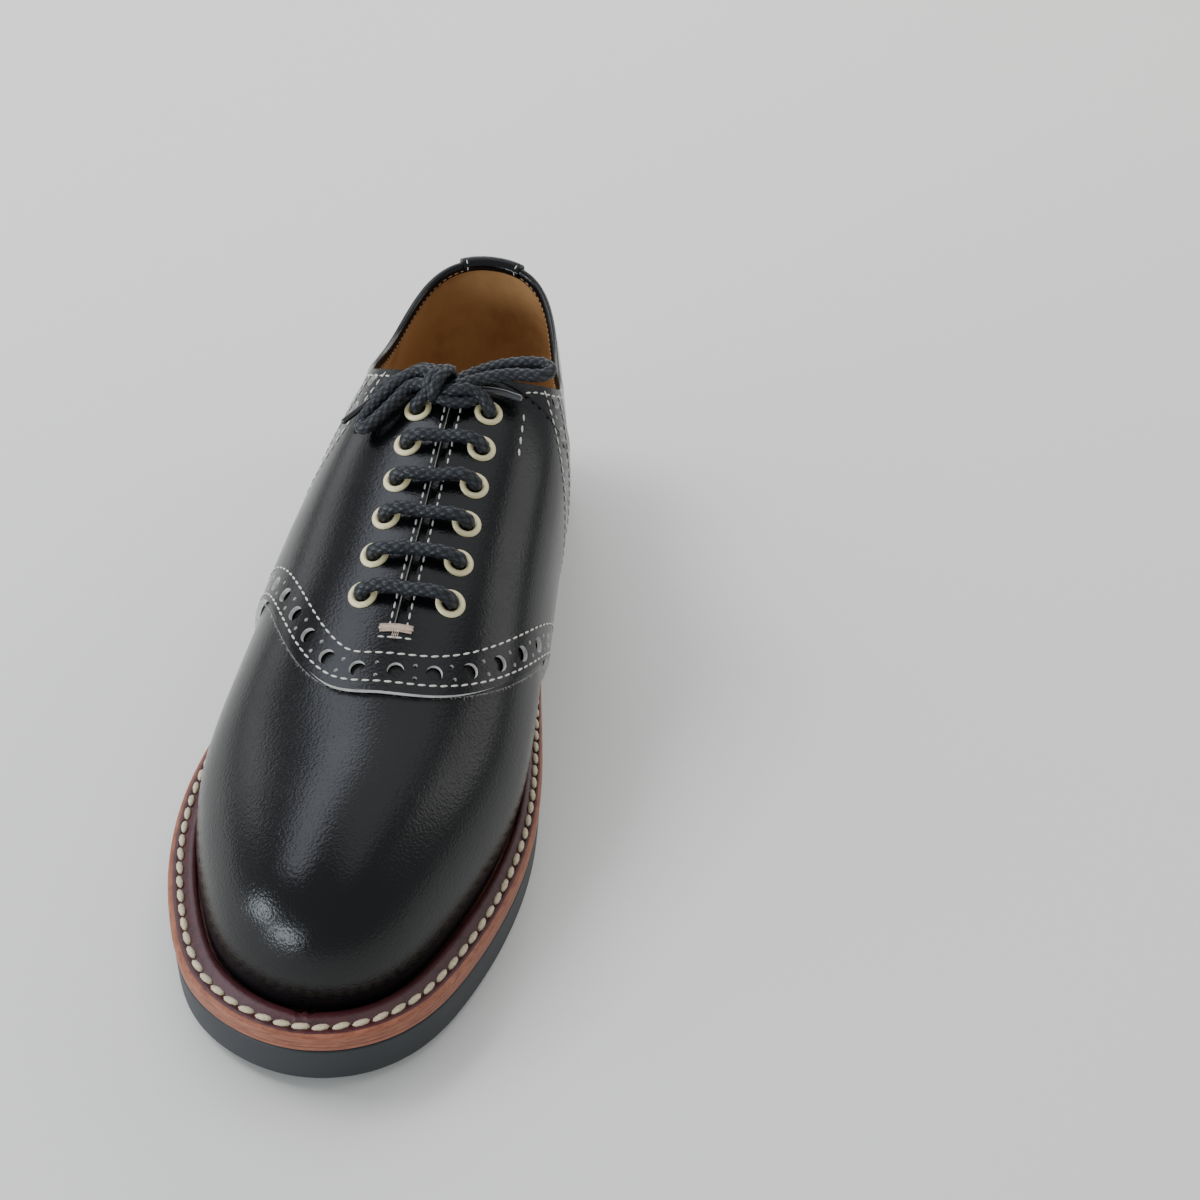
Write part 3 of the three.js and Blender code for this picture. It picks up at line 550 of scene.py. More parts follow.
def waxed_cord():
    """Braided waxed cord: painted shade between its strands, and a painted sheen of the wax on their
    crowns.
    """
    made = new_material("waxed_cord", (0.012, 0.016, 0.023), 0.4, Specular_IOR_Level=0.6)
    _, tree, shader, where = made
    relief = put(tree, "ShaderNodeAttribute", attribute_name="relief").outputs["Fac"]
    fibre = noise(tree, where, 3200, 4, 0.6)
    wear = use(tree, WEAR, Where=where, Patch_mm=2.6, Amount=0.9)
    crown = ramp(tree, sum_of(tree, relief, times(tree, fibre, 0.35)), 0.45, 1.15)
    # painted shade in the grooves (the darker colour) and painted sheen on the crowns (the lighter
    # colour), from the braid's relief
    colour = mix_colour(tree, crown, (0.0015, 0.002, 0.003), (0.0095, 0.0125, 0.0195))
    # painted sheen of the wax on the crowns, lighter and bluish, in soft random patches
    painted_crown_sheen = times(tree, times(tree, wear["Mask"], crown), 0.6)
    colour = mix_colour(tree, painted_crown_sheen, colour, (0.06, 0.072, 0.094))
    feed(tree, shader.inputs["Roughness"], ramp(tree, crown, 0.0, 1.0, 0.75, 0.36))
    return finish(made, colour, fibre, 0.6, 0.14)


BLACK = polished_leather("black_leather", (0.0035, 0.0037, 0.0045), 0.18, 0.7, 0.12)
SADDLE_BLACK = polished_leather("saddle_leather", (0.0035, 0.0037, 0.0045), 0.17, 0.7, 0.1)
TONGUE_BLACK = plain_leather(
    "tongue_leather", (0.008, 0.008, 0.009), (0.014, 0.014, 0.016), 0.5, 0.6, 0.08, 12.0
)
TAN = plain_leather("lining_leather", (0.27, 0.125, 0.045), (0.5, 0.285, 0.12), 0.48, 0.7, 0.05, 30.0)
OXBLOOD = plain_leather(
    "welt_leather", (0.02, 0.0045, 0.006), (0.07, 0.016, 0.02), 0.36, 0.9, 0.22, 4.0
)
NATURAL = cut_edge("midsole_edge", (0.2, 0.058, 0.03), (0.36, 0.13, 0.07), 2.2)
SOCK = plain_leather("insole_leather", (0.3, 0.15, 0.06), (0.44, 0.25, 0.11), 0.6, 0.8, 0.06, 30.0)
RUBBER_BLACK = rubber("black_rubber", (0.0125, 0.016, 0.021), 0.55)
RAW = plain_leather("raw_edge", (0.4, 0.4, 0.39), (0.8, 0.79, 0.76), 0.8, 0.5, 0.2, 2.0)
WHITE_THREAD = thread("white_thread", (0.78, 0.76, 0.7))
FIBRE = new_material("loose_fibre", (0.62, 0.6, 0.56), 0.9)[0]
CREAM_THREAD = thread("cream_thread", (0.72, 0.62, 0.42), 0.6, 0.7)
TAN_THREAD = thread("tan_thread", (0.5, 0.3, 0.15))
PINK_THREAD = thread("tack_thread", (0.8, 0.62, 0.5))
CORD = waxed_cord()


def eyelet_paint():
    made = new_material("eyelet_paint", (0.78, 0.71, 0.44), 0.3, Coat_Weight=0.5, Coat_Roughness=0.12)
    _, tree, _, where = made
    wear = use(tree, WEAR, Where=where, Patch_mm=2.5, Amount=0.6)
    colour = mix_colour(tree, times(tree, wear["Mask"], 0.5), (0.82, 0.73, 0.42), (0.55, 0.47, 0.27))
    return finish(made, colour, noise(tree, where, 900, 3), 0.15, 0.05)


CREAM_PAINT = eyelet_paint()
FILM = new_material("lace_film", (0.05, 0.055, 0.06), 0.25, Coat_Weight=0.8)[0]
TIP = new_material("lace_tip", (0.012, 0.012, 0.014), 0.2, Coat_Weight=0.7)[0]


# ---------------------------------------------------------------- mesh helpers
def mesh_object(name, vertices, faces, material, smooth=True):
    data = bpy.data.meshes.new(name)
    data.from_pydata(np.asarray(vertices).tolist(), [], faces)
    data.materials.append(material)
    data.validate()
    data.polygons.foreach_set("use_smooth", [smooth] * len(data.polygons))
    return add_object(name, data)


def outwards(made):
    """Turns a closed mesh's faces outwards."""
    b = bmesh.new()
    b.from_mesh(made.data)
    bmesh.ops.remove_doubles(b, verts=b.verts, dist=1e-6)
    bmesh.ops.recalc_face_normals(b, faces=b.faces)
    b.to_mesh(made.data)
    b.free()
    return made


def crease(made, degrees=38):
    made.data.set_sharp_from_angle(angle=math.radians(degrees))
    return made


def keep(made, *nodes, slot=None):
    """Hands a finished piece to the frame."""
    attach(made, "root")
    if nodes:
        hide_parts(*nodes)
    return made


def grid_faces(rows, columns, start=0, wrap=False):
    """Quads of a grid of points stored row by row."""
    faces = []
    last = columns if wrap else columns - 1
    for i in range(rows - 1):
        for j in range(last):
            k = (j + 1) % columns
            a, b = start + i * columns, start + (i + 1) * columns
            faces.append((a + j, b + j, b + k, a + k))
    return faces


def solid(name, rings, material, sharp=None, capped=True):
    """A closed mesh from rings of points: capped at both ends, or its last ring joined to its first."""
    around = len(rings[0])
    count = len(rings) * around
    faces = grid_faces(len(rings), around, wrap=True)
    if capped:
        faces += [tuple(range(around)), tuple(range(count - around, count))[::-1]]
    else:
        last = count - around
        faces += [(last + j, j, (j + 1) % around, last + (j + 1) % around) for j in range(around)]
    made = outwards(mesh_object(name, metres(np.concatenate(rings)), faces, material))
    return crease(made, sharp) if sharp else made


def slab(name, rings, material, sharp, pointed=True):
    """A closed mesh from rings of points, whose ends are ladders of faces from side to side.

    A pointed ring starts at a point that both of its sides share."""
    around = len(rings[0])
    faces = grid_faces(len(rings), around, wrap=True)
    last = around if pointed else around - 1
    rungs = [(i, (last - i) % around) for i in range(last // 2 + 1)]
    for start, flip in ((0, False), ((len(rings) - 1) * around, True)):
        for (a, d), (b, c) in zip(rungs, rungs[1:]):
            face = tuple(start + k for k in dict.fromkeys((a, b, c, d)))
            faces.append(face[::-1] if flip else face)
    made = outwards(mesh_object(name, metres(np.concatenate(rings)), faces, material))
    return crease(made, sharp)


def stacked(levels, outline, base):
    """Rings round the shoe: an outline for each level's place, raised by its height above the base."""
    rings = []
    for place, height in levels:
        p = outline(place)
        p[:, 2] = base(p[:, 1]) + height
        rings.append(p)
    return rings


def walls(rows, columns, joined, start, ends=False):
    """Walls between an outer and an inner grid: at the foot, past the joined rows, and at the ends."""
    under = rows * columns

    def wall(k, step):
        return start + k, start + k + step, start + under + k + step, start + under + k

    faces = []
    for i in range(rows - 1):
        faces.append(wall(i * columns, columns))
        if i >= joined - 1:
            faces.append(wall(i * columns + columns - 1, columns))
    if ends:
        faces += [wall(row * columns + j, 1) for j in range(columns - 1) for row in (0, rows - 1)]
    return faces


# ---------------------------------------------------------------- geometry nodes
def geometry_tree(name, inputs):
    """A tree that takes guide geometry and named values, and gives geometry."""
    geometry = "NodeSocketGeometry"
    more = [("Material", "NodeSocketMaterial", None)]
    given = [("Geometry", geometry, None), *inputs, *more]
    return node_tree("GeometryNodeTree", name, given, [("Geometry", geometry)])


def attribute(tree, name, kind="FLOAT_VECTOR"):
    node = put(tree, "GeometryNodeInputNamedAttribute", {"Name": name}, data_type=kind)
    return node.outputs["Attribute"]


def even_points(tree, given):
    """Points along the guide lines, as far apart as the tree's Spacing."""
    curve = put(tree, "GeometryNodeMeshToCurve", {"Mesh": given["Geometry"]}).outputs[0]
    steps = {"Curve": curve, "Length": given["Spacing"]}
    return put(tree, "GeometryNodeResampleCurve", steps, mode="LENGTH").outputs[0]


def turned(tree, turn, angles):
    """A rotation, then a smaller one about its own axes."""
    own = put(tree, "FunctionNodeEulerToRotation", {0: angles}).outputs[0]
    node = put(tree, "FunctionNodeRotateRotation", {0: turn, 1: own}, rotation_space="LOCAL")
    return node.outputs[0]


def scatter(tree, given, made, points, shape, turn, size, smooth=False):
    """A copy of the shape at each point, as plain mesh in the tree's Material."""
    copies = {"Points": points, "Instance": shape, "Rotation": turn, "Scale": size}
    place = put(tree, "GeometryNodeInstanceOnPoints", copies).outputs[0]
    real = put(tree, "GeometryNodeRealizeInstances", {0: place}).outputs[0]
    if smooth:
        real = put(tree, "GeometryNodeSetShadeSmooth", {0: real}).outputs[0]
    painted = put(tree, "GeometryNodeSetMaterial", {0: real, "Material": given["Material"]})
    feed(tree, made[0], painted.outputs[0])
    return tree


def grow(made, tree, **values):
    """Runs a tree on a guide object, and returns its result as a plain mesh in its place."""
    modifier = made.modifiers.new("grow", "NODES")
    modifier.node_group = tree
    for item in tree.interface.items_tree:
        if item.item_type == "SOCKET" and item.in_out == "INPUT":
            key = item.name.replace(" ", "_")
            if key in values:
                modifier[item.identifier] = values[key]
    bpy.context.view_layer.update()
    graph = bpy.context.evaluated_depsgraph_get()
    data = bpy.data.meshes.new_from_object(made.evaluated_get(graph), depsgraph=graph)
    name = made.name
    bpy.data.objects.remove(made)
    return add_object(name, data)


def make_stitch_tree():
    """Stitches along guide lines: each a small bead, turned to its line and its leather."""
    tree, given, made = geometry_tree("stitch_row", [
        ("Spacing", FLOAT, 0.0026), ("Length", FLOAT, 0.0019), ("Width", FLOAT, 0.0005),
        ("Height", FLOAT, 0.0004), ("Lean", FLOAT, 0.0), ("Uneven", FLOAT, 0.06), ("Seed", WHOLE, 1),
    ])
    points = even_points(tree, given)
    bead = put(tree, "GeometryNodeMeshUVSphere", {"Segments": 8, "Rings": 5, "Radius": 0.5})
    sides = {0: given["Length"], 1: given["Width"], 2: given["Height"]}
    size = put(tree, "ShaderNodeCombineXYZ", sides)
    along = put(tree, "GeometryNodeInputTangent").outputs[0]
    ways = {"Primary Axis": attribute(tree, "lie"), "Secondary Axis": along}
    turn = put(tree, "FunctionNodeAxesToRotation", ways, primary_axis="Z", secondary_axis="X")
    chance = put(tree, "FunctionNodeRandomValue", {"Seed": given["Seed"]}, data_type="FLOAT_VECTOR")
    centred = vector_sum(tree, chance.outputs[0], (0.5, 0.5, 0.5), "SUBTRACT")
    spin = vector_sum(tree, centred, given["Uneven"], "SCALE")
    lean = put(tree, "ShaderNodeCombineXYZ", {2: given["Lean"]}).outputs[0]
    both = turned(tree, turn.outputs[0], vector_sum(tree, spin, lean))
    return scatter(tree, given, made, points, bead.outputs["Mesh"], both, size.outputs[0], True)


STITCHES = make_stitch_tree()


def lying(name, points, edges, lies):
    """Loose points or lines, each point knowing which way its leather faces."""
    data = bpy.data.meshes.new(name)
    data.from_pydata([tuple(p) for p in metres(points)], edges, [])
    lie = data.attributes.new("lie", "FLOAT_VECTOR", "POINT")
    lie.data.foreach_set("vector", np.asarray(lies, np.float32).ravel())
    return add_object(name, data)


def guide(name, lines, lies):
    edges, start = [], 0
    for line in lines:
        edges += [(start + k, start + k + 1) for k in range(len(line) - 1)]
        start += len(line)
    return lying(name, np.concatenate(lines), edges, np.concatenate(lies))


def stitch(name, lines, lies, material, spacing, length, width, height, lean, uneven, seed):
    """Rows of stitches along the lines, sizes in mm, kept as one piece."""
    made = grow(
        guide(name, lines, lies), STITCHES, Spacing=spacing * MM, Length=length * MM,
        Width=width * MM, Height=height * MM, Lean=lean, Uneven=uneven, Seed=seed, Material=material,
    )
    return keep(made, slot="lace")


# ---------------------------------------------------------------- lines on the saddle
FRONT_T = {
    side: spline([r[0] for r in SADDLE_FRONT], [math.sqrt(r[k]) for r in SADDLE_FRONT], False, True)
    for side, k in ((-1, 1), (1, 2))
}
REAR_T = {
    side: spline([r[0] for r in SADDLE_REAR], [math.sqrt(r[k]) for r in SADDLE_REAR])
    for side, k in ((-1, 1), (1, 2))
}


def foot_q(t, side, height):
    """q at which the wall stands this high above the feather line."""
    t = np.asarray(t, float)
    base = last_point(side, t, 0.0)[..., 2]
    v = share_where(side, t, lambda p: p[..., 2] > base + height)
    return side * (1 - v / top_share(side, t))


FOOT_RISE = WELT + 1.2


def edge_t(table, q):
    w = 1 - np.abs(q)
    return np.where(np.asarray(q) < 0, table[-1](w), table[1](w))


def shift_line(t, q, distance, steps=6):
    """Moves a line of places sideways over the leather, by a distance in mm."""
    t, q = np.array(t, float), np.array(q, float)
    e = 1e-4
    across = np.cross(skin_normal(t, q), np.gradient(skin(t, q), axis=0))
    for _ in range(steps):
        n = skin_normal(t, q)
        b = unit(across - n * (across * n).sum(1, keepdims=True))
        pt = (skin(t + e, q) - skin(t - e, q)) / (2 * e)
        s = np.where(q < 0, -1.0, 1.0)
        q1 = np.where(np.abs(q) < 2 * e, s * 2 * e, q)
        pq = (skin(t, q1 + e) - skin(t, q1 - e)) / (2 * e)
        t, q = step_over(t, q, pt, pq, b * distance / steps)
    return t, q


def step_over(t, q, pt, pq, move):
    """The two coordinates after a small move over a surface with these two slopes."""
    g = np.stack([(pt * pt).sum(1), (pt * pq).sum(1), (pq * pq).sum(1)], 1)
    r = np.stack([(pt * move).sum(1), (pq * move).sum(1)], 1)
    det = g[:, 0] * g[:, 2] - g[:, 1] ** 2
    dt = (g[:, 2] * r[:, 0] - g[:, 1] * r[:, 1]) / det
    dq = (g[:, 0] * r[:, 1] - g[:, 1] * r[:, 0]) / det
    return t + dt, q + dq


def rear_edge(side, w):
    """t and share of the profile on the saddle's rear edge, from the foot at 0 to the collar at 1."""
    t = REAR_T[side](w)
    foot = last_point(side, t, 0.0)[..., 2] + FOOT_RISE
    low = share_where(side, t, lambda p: p[..., 2] > foot)
    return t, low + (float(top_share(side, float(REAR_T[side](1.0)))) - low) * w


def rear_line(side, distance, count, steps=6):
    """A line set in from the rear edge, and how far below the collar each of its places lies."""
    t, v = rear_edge(side, np.linspace(0.01, 1.3, count))
    e = 1e-4
    for _ in range(steps):
        n = last_normal(side, t, v)
        b = np.cross(n, np.gradient(last_point(side, t, v), axis=0))
        b /= np.linalg.norm(b, axis=1, keepdims=True) * np.where(b[:, 1:2] > 0, -1, 1)
        pt = (last_point(side, t + e, v) - last_point(side, t - e, v)) / (2 * e)
        pv = (last_point(side, t, v + e) - last_point(side, t, v - e)) / (2 * e)
        t, v = step_over(t, v, pt, pv, b * distance / steps)
    top = top_share(side, t)
    below = np.linalg.norm(last_point(side, t, top) - last_point(side, t, v), axis=1)
    below *= np.where(v < top, 1, -1)
    return t, side * np.maximum(1 - v / top, 1e-6), below


def below_top_edge(side, t, distance):
    """Places this far below the collar's edge, measured square to it."""
    q = np.linspace(0, 0.4, 160)
    edge = skin(t, np.full(t.shape, side * 1e-6))
    along = unit(np.gradient(edge, axis=0))
    out = []
    for k, one in enumerate(t):
        p = skin(np.full(q.shape, one), side * np.maximum(q, 1e-6))
        slant = max(np.linalg.norm(np.cross(along[k], unit(p[2] - p[0]))), 0.3)
        out.append(np.interp(distance / slant, run_of(p), q))
    return side * np.array(out)


# ---------------------------------------------------------------- throat
def throat_x(y):
    """The middle of the throat, from side to side."""
    (y0, x0), (y1, x1) = THROAT
    share = ((y - FRONT) / SOLE_LENGTH - y0) / (y1 - y0)
    return BALL_WIDTH * (x0 + (x1 - x0) * share)


# ---------------------------------------------------------------- lace
def row_y(row):
    first, last = EYELETS_ALONG
    return FRONT + SOLE_LENGTH * (first + (last - first) * row / (EYELET_ROWS - 1))


def row_reach(row):
    near, far = EYELETS_ACROSS
    return BALL_WIDTH * (near + (far - near) * row / (EYELET_ROWS - 1))


def surface_at(side, x, y, off):
    t, q = skin_at(x, y, side)
    normal = skin_normal(t, q)
    return skin(t, q) + normal * off, normal


def seat_of(side, row, up=0.0):
    y = row_y(row)
    return surface_at(side, throat_x(y) + side * row_reach(row), y, SADDLE_TOP + up)


def smooth_path(points, step):
    """A smooth curve through the points, in even steps."""
    points = np.asarray(points, float)
    s = np.r_[0, np.cumsum(np.sqrt(np.linalg.norm(np.diff(points, axis=0), axis=1)))]
    curves = [spline(s, points[:, k]) for k in range(3)]
    fine = np.linspace(0, s[-1], 1200)
    dense = np.stack([c(fine) for c in curves], 1)
    length = run_of(dense)
    even = np.linspace(0, length[-1], max(int(length[-1] / step), 8))
    return np.stack([np.interp(even, length, dense[:, k]) for k in range(3)], 1), even


def carried_frames(path):
    """Two directions across the path, carried along it without twist."""
    tangent = unit(np.gradient(path, axis=0))
    u = np.cross(tangent[0], np.cross((0.0, 0.0, 1.0), tangent[0]))
    across = []
    for d in tangent:
        u = unit(u - d * (u @ d))
        across.append(u)
    return np.array(across), np.cross(tangent, across)


BRAID_STRANDS = 5
BRAID_RELIEF = 0.46


def braid_height(turn, along):
    """Height of a braid's surface: strands cross over one, under one, round the cord."""
    pitch = math.pi * LACE / BRAID_STRANDS * 1.25
    p = BRAID_STRANDS * turn + along / pitch
    q = BRAID_STRANDS * turn - along / pitch
    over = (np.floor(p) + np.floor(q)) % 2 == 0
    f, g = np.where(over, p % 1, q % 1), np.where(over, q % 1, p % 1)
    return np.sin(math.pi * f) ** 0.7 * (0.55 + 0.45 * np.sin(math.pi * g))


def braided(name, points, taper=None, sides=30):
    """A braided cord along a path: real strands on its surface, closed at both ends."""
    path, s = smooth_path(points, 0.32)
    u, w = carried_frames(path)
    turn = np.arange(sides) / sides
    relief = braid_height(turn[None], s[:, None]) * BRAID_RELIEF
    r = LACE / 2 - BRAID_RELIEF * 0.62 + relief
    if taper is not None:
        r = r * taper(s / s[-1])[:, None]
    angle = 2 * math.pi * turn[None]
    a, b = np.cos(angle) * r, np.sin(angle) * r
    rings = path[:, None] + u[:, None] * a[..., None] + w[:, None] * b[..., None]
    points = np.concatenate([rings.reshape(-1, 3), path[:1], path[-1:]])
    count = len(path) * sides
    faces = grid_faces(len(path), sides, wrap=True)
    last = count - sides
    for k in range(sides):
        faces.append((count, k, (k + 1) % sides))
        faces.append((count + 1, last + (k + 1) % sides, last + k))
    made = mesh_object(name, metres(points), faces, CORD)
    # relief per point; the cord's material paints shade into the grooves and sheen onto the crowns from
    # it
    depth = made.data.attributes.new("relief", "FLOAT", "POINT")
    depth.data.foreach_set("value", np.r_[relief.ravel() / BRAID_RELIEF, 0, 0].astype(np.float32))
    return outwards(made), path


def lace_bars():
    chance = np.random.default_rng(7)
    for row in range(1, EYELET_ROWS):
        y = row_y(row)
        seats = {side: seat_of(side, row) for side in (-1, 1)}
        wobble = chance.uniform(-0.7, 0.7, 4)

        def rise(side, height):
            place, normal = seats[side]
            return place + normal * height

        def shoulder(side, share, height):
            x = throat_x(y) + side * row_reach(row) * share
            return surface_at(side, x, y + wobble[int(side > 0)], SADDLE_TOP + LACE / 2 + height)[0]

        crest = surface_at(
            1, throat_x(y) + 0.5, y + wobble[2], SADDLE_TOP + LACE / 2 + 1.1 + wobble[3] * 0.3
        )[0]
        points = [
            rise(-1, -3.2), rise(-1, -0.4), rise(-1, 1.9), shoulder(-1, 0.66, 1.9), crest,
            shoulder(1, 0.66, 1.9), rise(1, 1.9), rise(1, -0.4), rise(1, -3.2),
        ]
        bar, _ = braided(f"lace_bar_{row + 1}", points)
        keep(bar, f"lace_bar_{row + 1}", slot="lace")


KNOT_PLACE = (-0.020, 0.012, 0.067)
OUTER_LOOP = (
    (-0.104, 0.058, 0.080), (-0.153, 0.049, 0.057), (-0.200, 0.021, 0.022), (-0.257, -0.038, -0.047),
    (-0.247, -0.074, -0.047), (-0.190, -0.041, 0.000), (-0.153, -0.003, 0.033), (-0.123, 0.016, 0.057),
)
INNER_LOOP = (
    (0.058, 0.073, 0.090), (0.111, 0.092, 0.104), (0.177, 0.101, 0.118), (0.248, 0.097, 0.122),
    (0.262, 0.073, 0.118), (0.234, 0.054, 0.112), (0.173, 0.052, 0.108), (0.111, 0.042, 0.101),
    (0.062, 0.028, 0.091),
)
OUTER_END = (
    (-0.101, 0.090, 0.064), (-0.153, 0.083, 0.037), (-0.209, 0.070, 0.004), (-0.257, 0.050, -0.036),
    (-0.332, 0.020, -0.100),
)
INNER_END = ((0.060, 0.031, 0.055), (0.121, 0.041, 0.050), (0.189, 0.042, 0.034))


def bow_place(shares, thickness=LACE):
    """A place in the bow, raised where the saddle would be too near."""
    y0 = row_y(0)
    ridge = surface_at(1, throat_x(y0) + 0.1, y0, 0.0)[0]
    p = np.array([throat_x(y0), y0, ridge[2]]) + np.array(shares) * BALL_WIDTH
    side = -1 if p[0] < throat_x(p[1]) else 1
    under, normal = surface_at(side, p[0], p[1], 0.0)
    p[2] = max(p[2], under[2] + (SADDLE_TOP + 0.2 + thickness / 2) / normal[2])
    return p


def free_cord(name, points, far_end, others=(), **more):
    """A loop or end of the bow: a braided cord."""
    made, path = braided(name, points, **more)
    keep(made, "lace_bow", slot="lace")


def aglet(name, points, radius, material, sides=16):
    """A thin stiff sleeve on a lace's end, a little rounded at its tip."""
    path, s = smooth_path(points, 0.5)
    u, w = carried_frames(path)
    rounded = np.sqrt(np.clip(1 - np.clip(1 - (s[-1] - s) / 0.9, 0, 1) ** 2, 0.12, 1))
    r = radius * rounded * (1 + 0.12 * np.clip(1 - s / 1.2, 0, 1))
    angle = 2 * math.pi * np.arange(sides)[None, :, None] / sides
    rings = path[:, None] + (u[:, None] * np.cos(angle) + w[:, None] * np.sin(angle)) * r[:, None, None]
    return keep(solid(name, rings, material, 38), "lace_bow", slot="lace")


# The knot's strands, in mm from its middle: two that rise from the first eyelets, and two turns.
KNOT_STRANDS = {
    "bow_rise_outer": ((-6.2, -2.6, -1.2), (-5.2, -2.2, 2.6), (-2.4, 1.6, 4.3), (0.4, 4.6, 2.4)),
    "bow_rise_inner": ((9.2, -2.0, 0.2), (4.4, -2.4, 1.2), (0.6, -2.4, 0.2), (-2.6, -1.6, -0.8)),
    "bow_under": (
        (9.8, -1.4, -1.4), (7.0, -3.2, -2.0), (3.0, -4.4, -2.3), (-1.4, -3.8, -2.0),
        (-4.4, -0.8, -1.4), (-4.4, 2.8, -0.2),
    ),
    "bow_wrap": (
        (-3.6, -1.2, -3.6), (-4.0, -3.9, -1.2), (-3.4, -3.8, 2.2), (-1.8, -0.8, 4.4),
        (-0.6, 2.6, 4.0), (0.0, 4.4, 1.2), (-0.4, 3.6, -1.8),
    ),
}


def lace_bow():
    knot = bow_place(KNOT_PLACE, 0.0)

    def at(across, ahead, above):
        return knot + np.array([across, ahead, above])

    for name, strand in KNOT_STRANDS.items():
        points = [at(*place) for place in strand]
        if "rise" in name:
            place, normal = seat_of(1 if "inner" in name else -1, 0)
            points = [place + normal * h for h in (-3.2, -0.4, 2.0)] + points
        keep(braided(name, points)[0], "lace_bow", slot="lace")
    outer = [at(-3.2, 1.6, -0.2)] + [bow_place(p) for p in OUTER_LOOP] + [at(-4.6, -0.9, 0.6)]
    inner = [at(2.2, 2.2, 1.0)] + [bow_place(p) for p in INNER_LOOP] + [at(2.6, -1.2, 1.4)]
    free_cord("bow_loop_outer", outer, "object")
    free_cord("bow_loop_inner", inner, "object")
    ends = [bow_place(p, 2.4) for p in OUTER_END]
    sleeve = aglet(
        "aglet_outer", [ends[2] * 0.12 + ends[3] * 0.88, ends[3] * 0.45 + ends[4] * 0.55, ends[4]],
        0.95, TIP,
    )
    route = [at(-1.6, 3.6, 0.8)] + [p + [0, 0, 0.6] for p in ends[:3]]
    route += [ends[3], ends[3] * 0.5 + ends[4] * 0.5, ends[3] * 0.04 + ends[4] * 0.96]
    free_cord(
        "bow_end_outer", route, "fitting", [sleeve],
        taper=lambda s: 1 - 0.68 * np.clip((s - 0.6) / 0.12, 0, 1) ** 2,
    )
    ends = [bow_place(p, 2.4) for p in INNER_END]
    sleeve = aglet("aglet_inner", [ends[0], ends[1], ends[2]], 1.15, FILM)
    route = [at(-7.6, -0.2, -2.2), at(-3.6, 2.2, -1.2), at(0.5, 1.6, -0.4), at(4.0, 0.8, 0.0)]
    route += [ends[0], ends[1], ends[1] * 0.05 + ends[2] * 0.95]
    free_cord(
        "bow_end_inner", route, "fitting", [sleeve],
        taper=lambda s: 1 - 0.6 * np.clip((s - 0.36) / 0.16, 0, 1) ** 2,
    )


def eyelets():
    """Painted rings with a rounded rim and a sleeve down through the leather."""
    bore, edge = EYELET_BORE / 2, EYELET / 2
    profile = [
        (bore, -2.4), (bore, -0.35), (bore + 0.08, 0.15), (bore + 0.3, 0.55), (bore + 0.62, 0.82),
        (bore + 0.95, 0.9), (bore + 1.25, 0.84), (edge - 0.4, 0.62), (edge - 0.14, 0.34), (edge, 0.05),
        (edge - 0.05, -0.12), (edge - 0.3, -0.16), (bore + 0.3, -0.16), (bore + 0.3, -2.4),
    ]
    angle = 2 * math.pi * np.arange(48)[:, None] / 48
    for side, word in ((-1, "outer"), (1, "inner")):
        for row in range(EYELET_ROWS):
            place, normal = seat_of(side, row, 0.12)
            u = unit(np.cross(normal, (0, 1, 0)))
            around = u * np.cos(angle) + np.cross(normal, u) * np.sin(angle)
            rings = [place + around * r + normal * z for r, z in profile]
            name = f"eyelet_{word}_{row + 1}"
            keep(solid(name + "_ring", rings, CREAM_PAINT, 50, capped=False), name, slot="eyelet_metal")


lace_bars()
lace_bow()
eyelets()


# ---------------------------------------------------------------- sole unit
def sole_layer(name, levels, material, node, slot):
    """A slab under the whole shoe; each level is an inset from the sole's edge, and a height."""
    rings = stacked(levels, lambda inset: loop(SOLE_MARGIN - inset), lift)
    return keep(slab(name, rings, material, 30), node, slot=slot)


sole_layer(
    "rubber_sole",
    [(1.2, 0.0), (0.35, 0.35), (0.0, 1.1), (0.0, RUBBER - 0.5), (0.25, RUBBER - 0.1), (0.7, RUBBER)],
    RUBBER_BLACK, "outsole", "rubber",
)
edge_profile = (
    (0.5, 0.0), (0.12, 0.15), (0.0, 0.6), (0.02, 1.55), (0.22, 1.7), (0.02, 1.85), (0.0, 2.9),
    (0.2, MIDSOLE),
)
sole_layer(
    "leather_midsole", [(inset, MIDSOLE_BASE + height) for inset, height in edge_profile],
    NATURAL, "midsole", "natural_leather",
)


def eased(values, turns=14):
    """Evens out a ring's values at the toe and heel middles, where its two sides meet."""
    values = np.array(values, float)
    for end in (0, ROUND // 2):
        near = (end + np.arange(-5, 6)) % ROUND
        for _ in range(turns):
            values[near] = (values[near - 1] + 2 * values[near] + values[(near + 1) % ROUND]) / 4
    return values


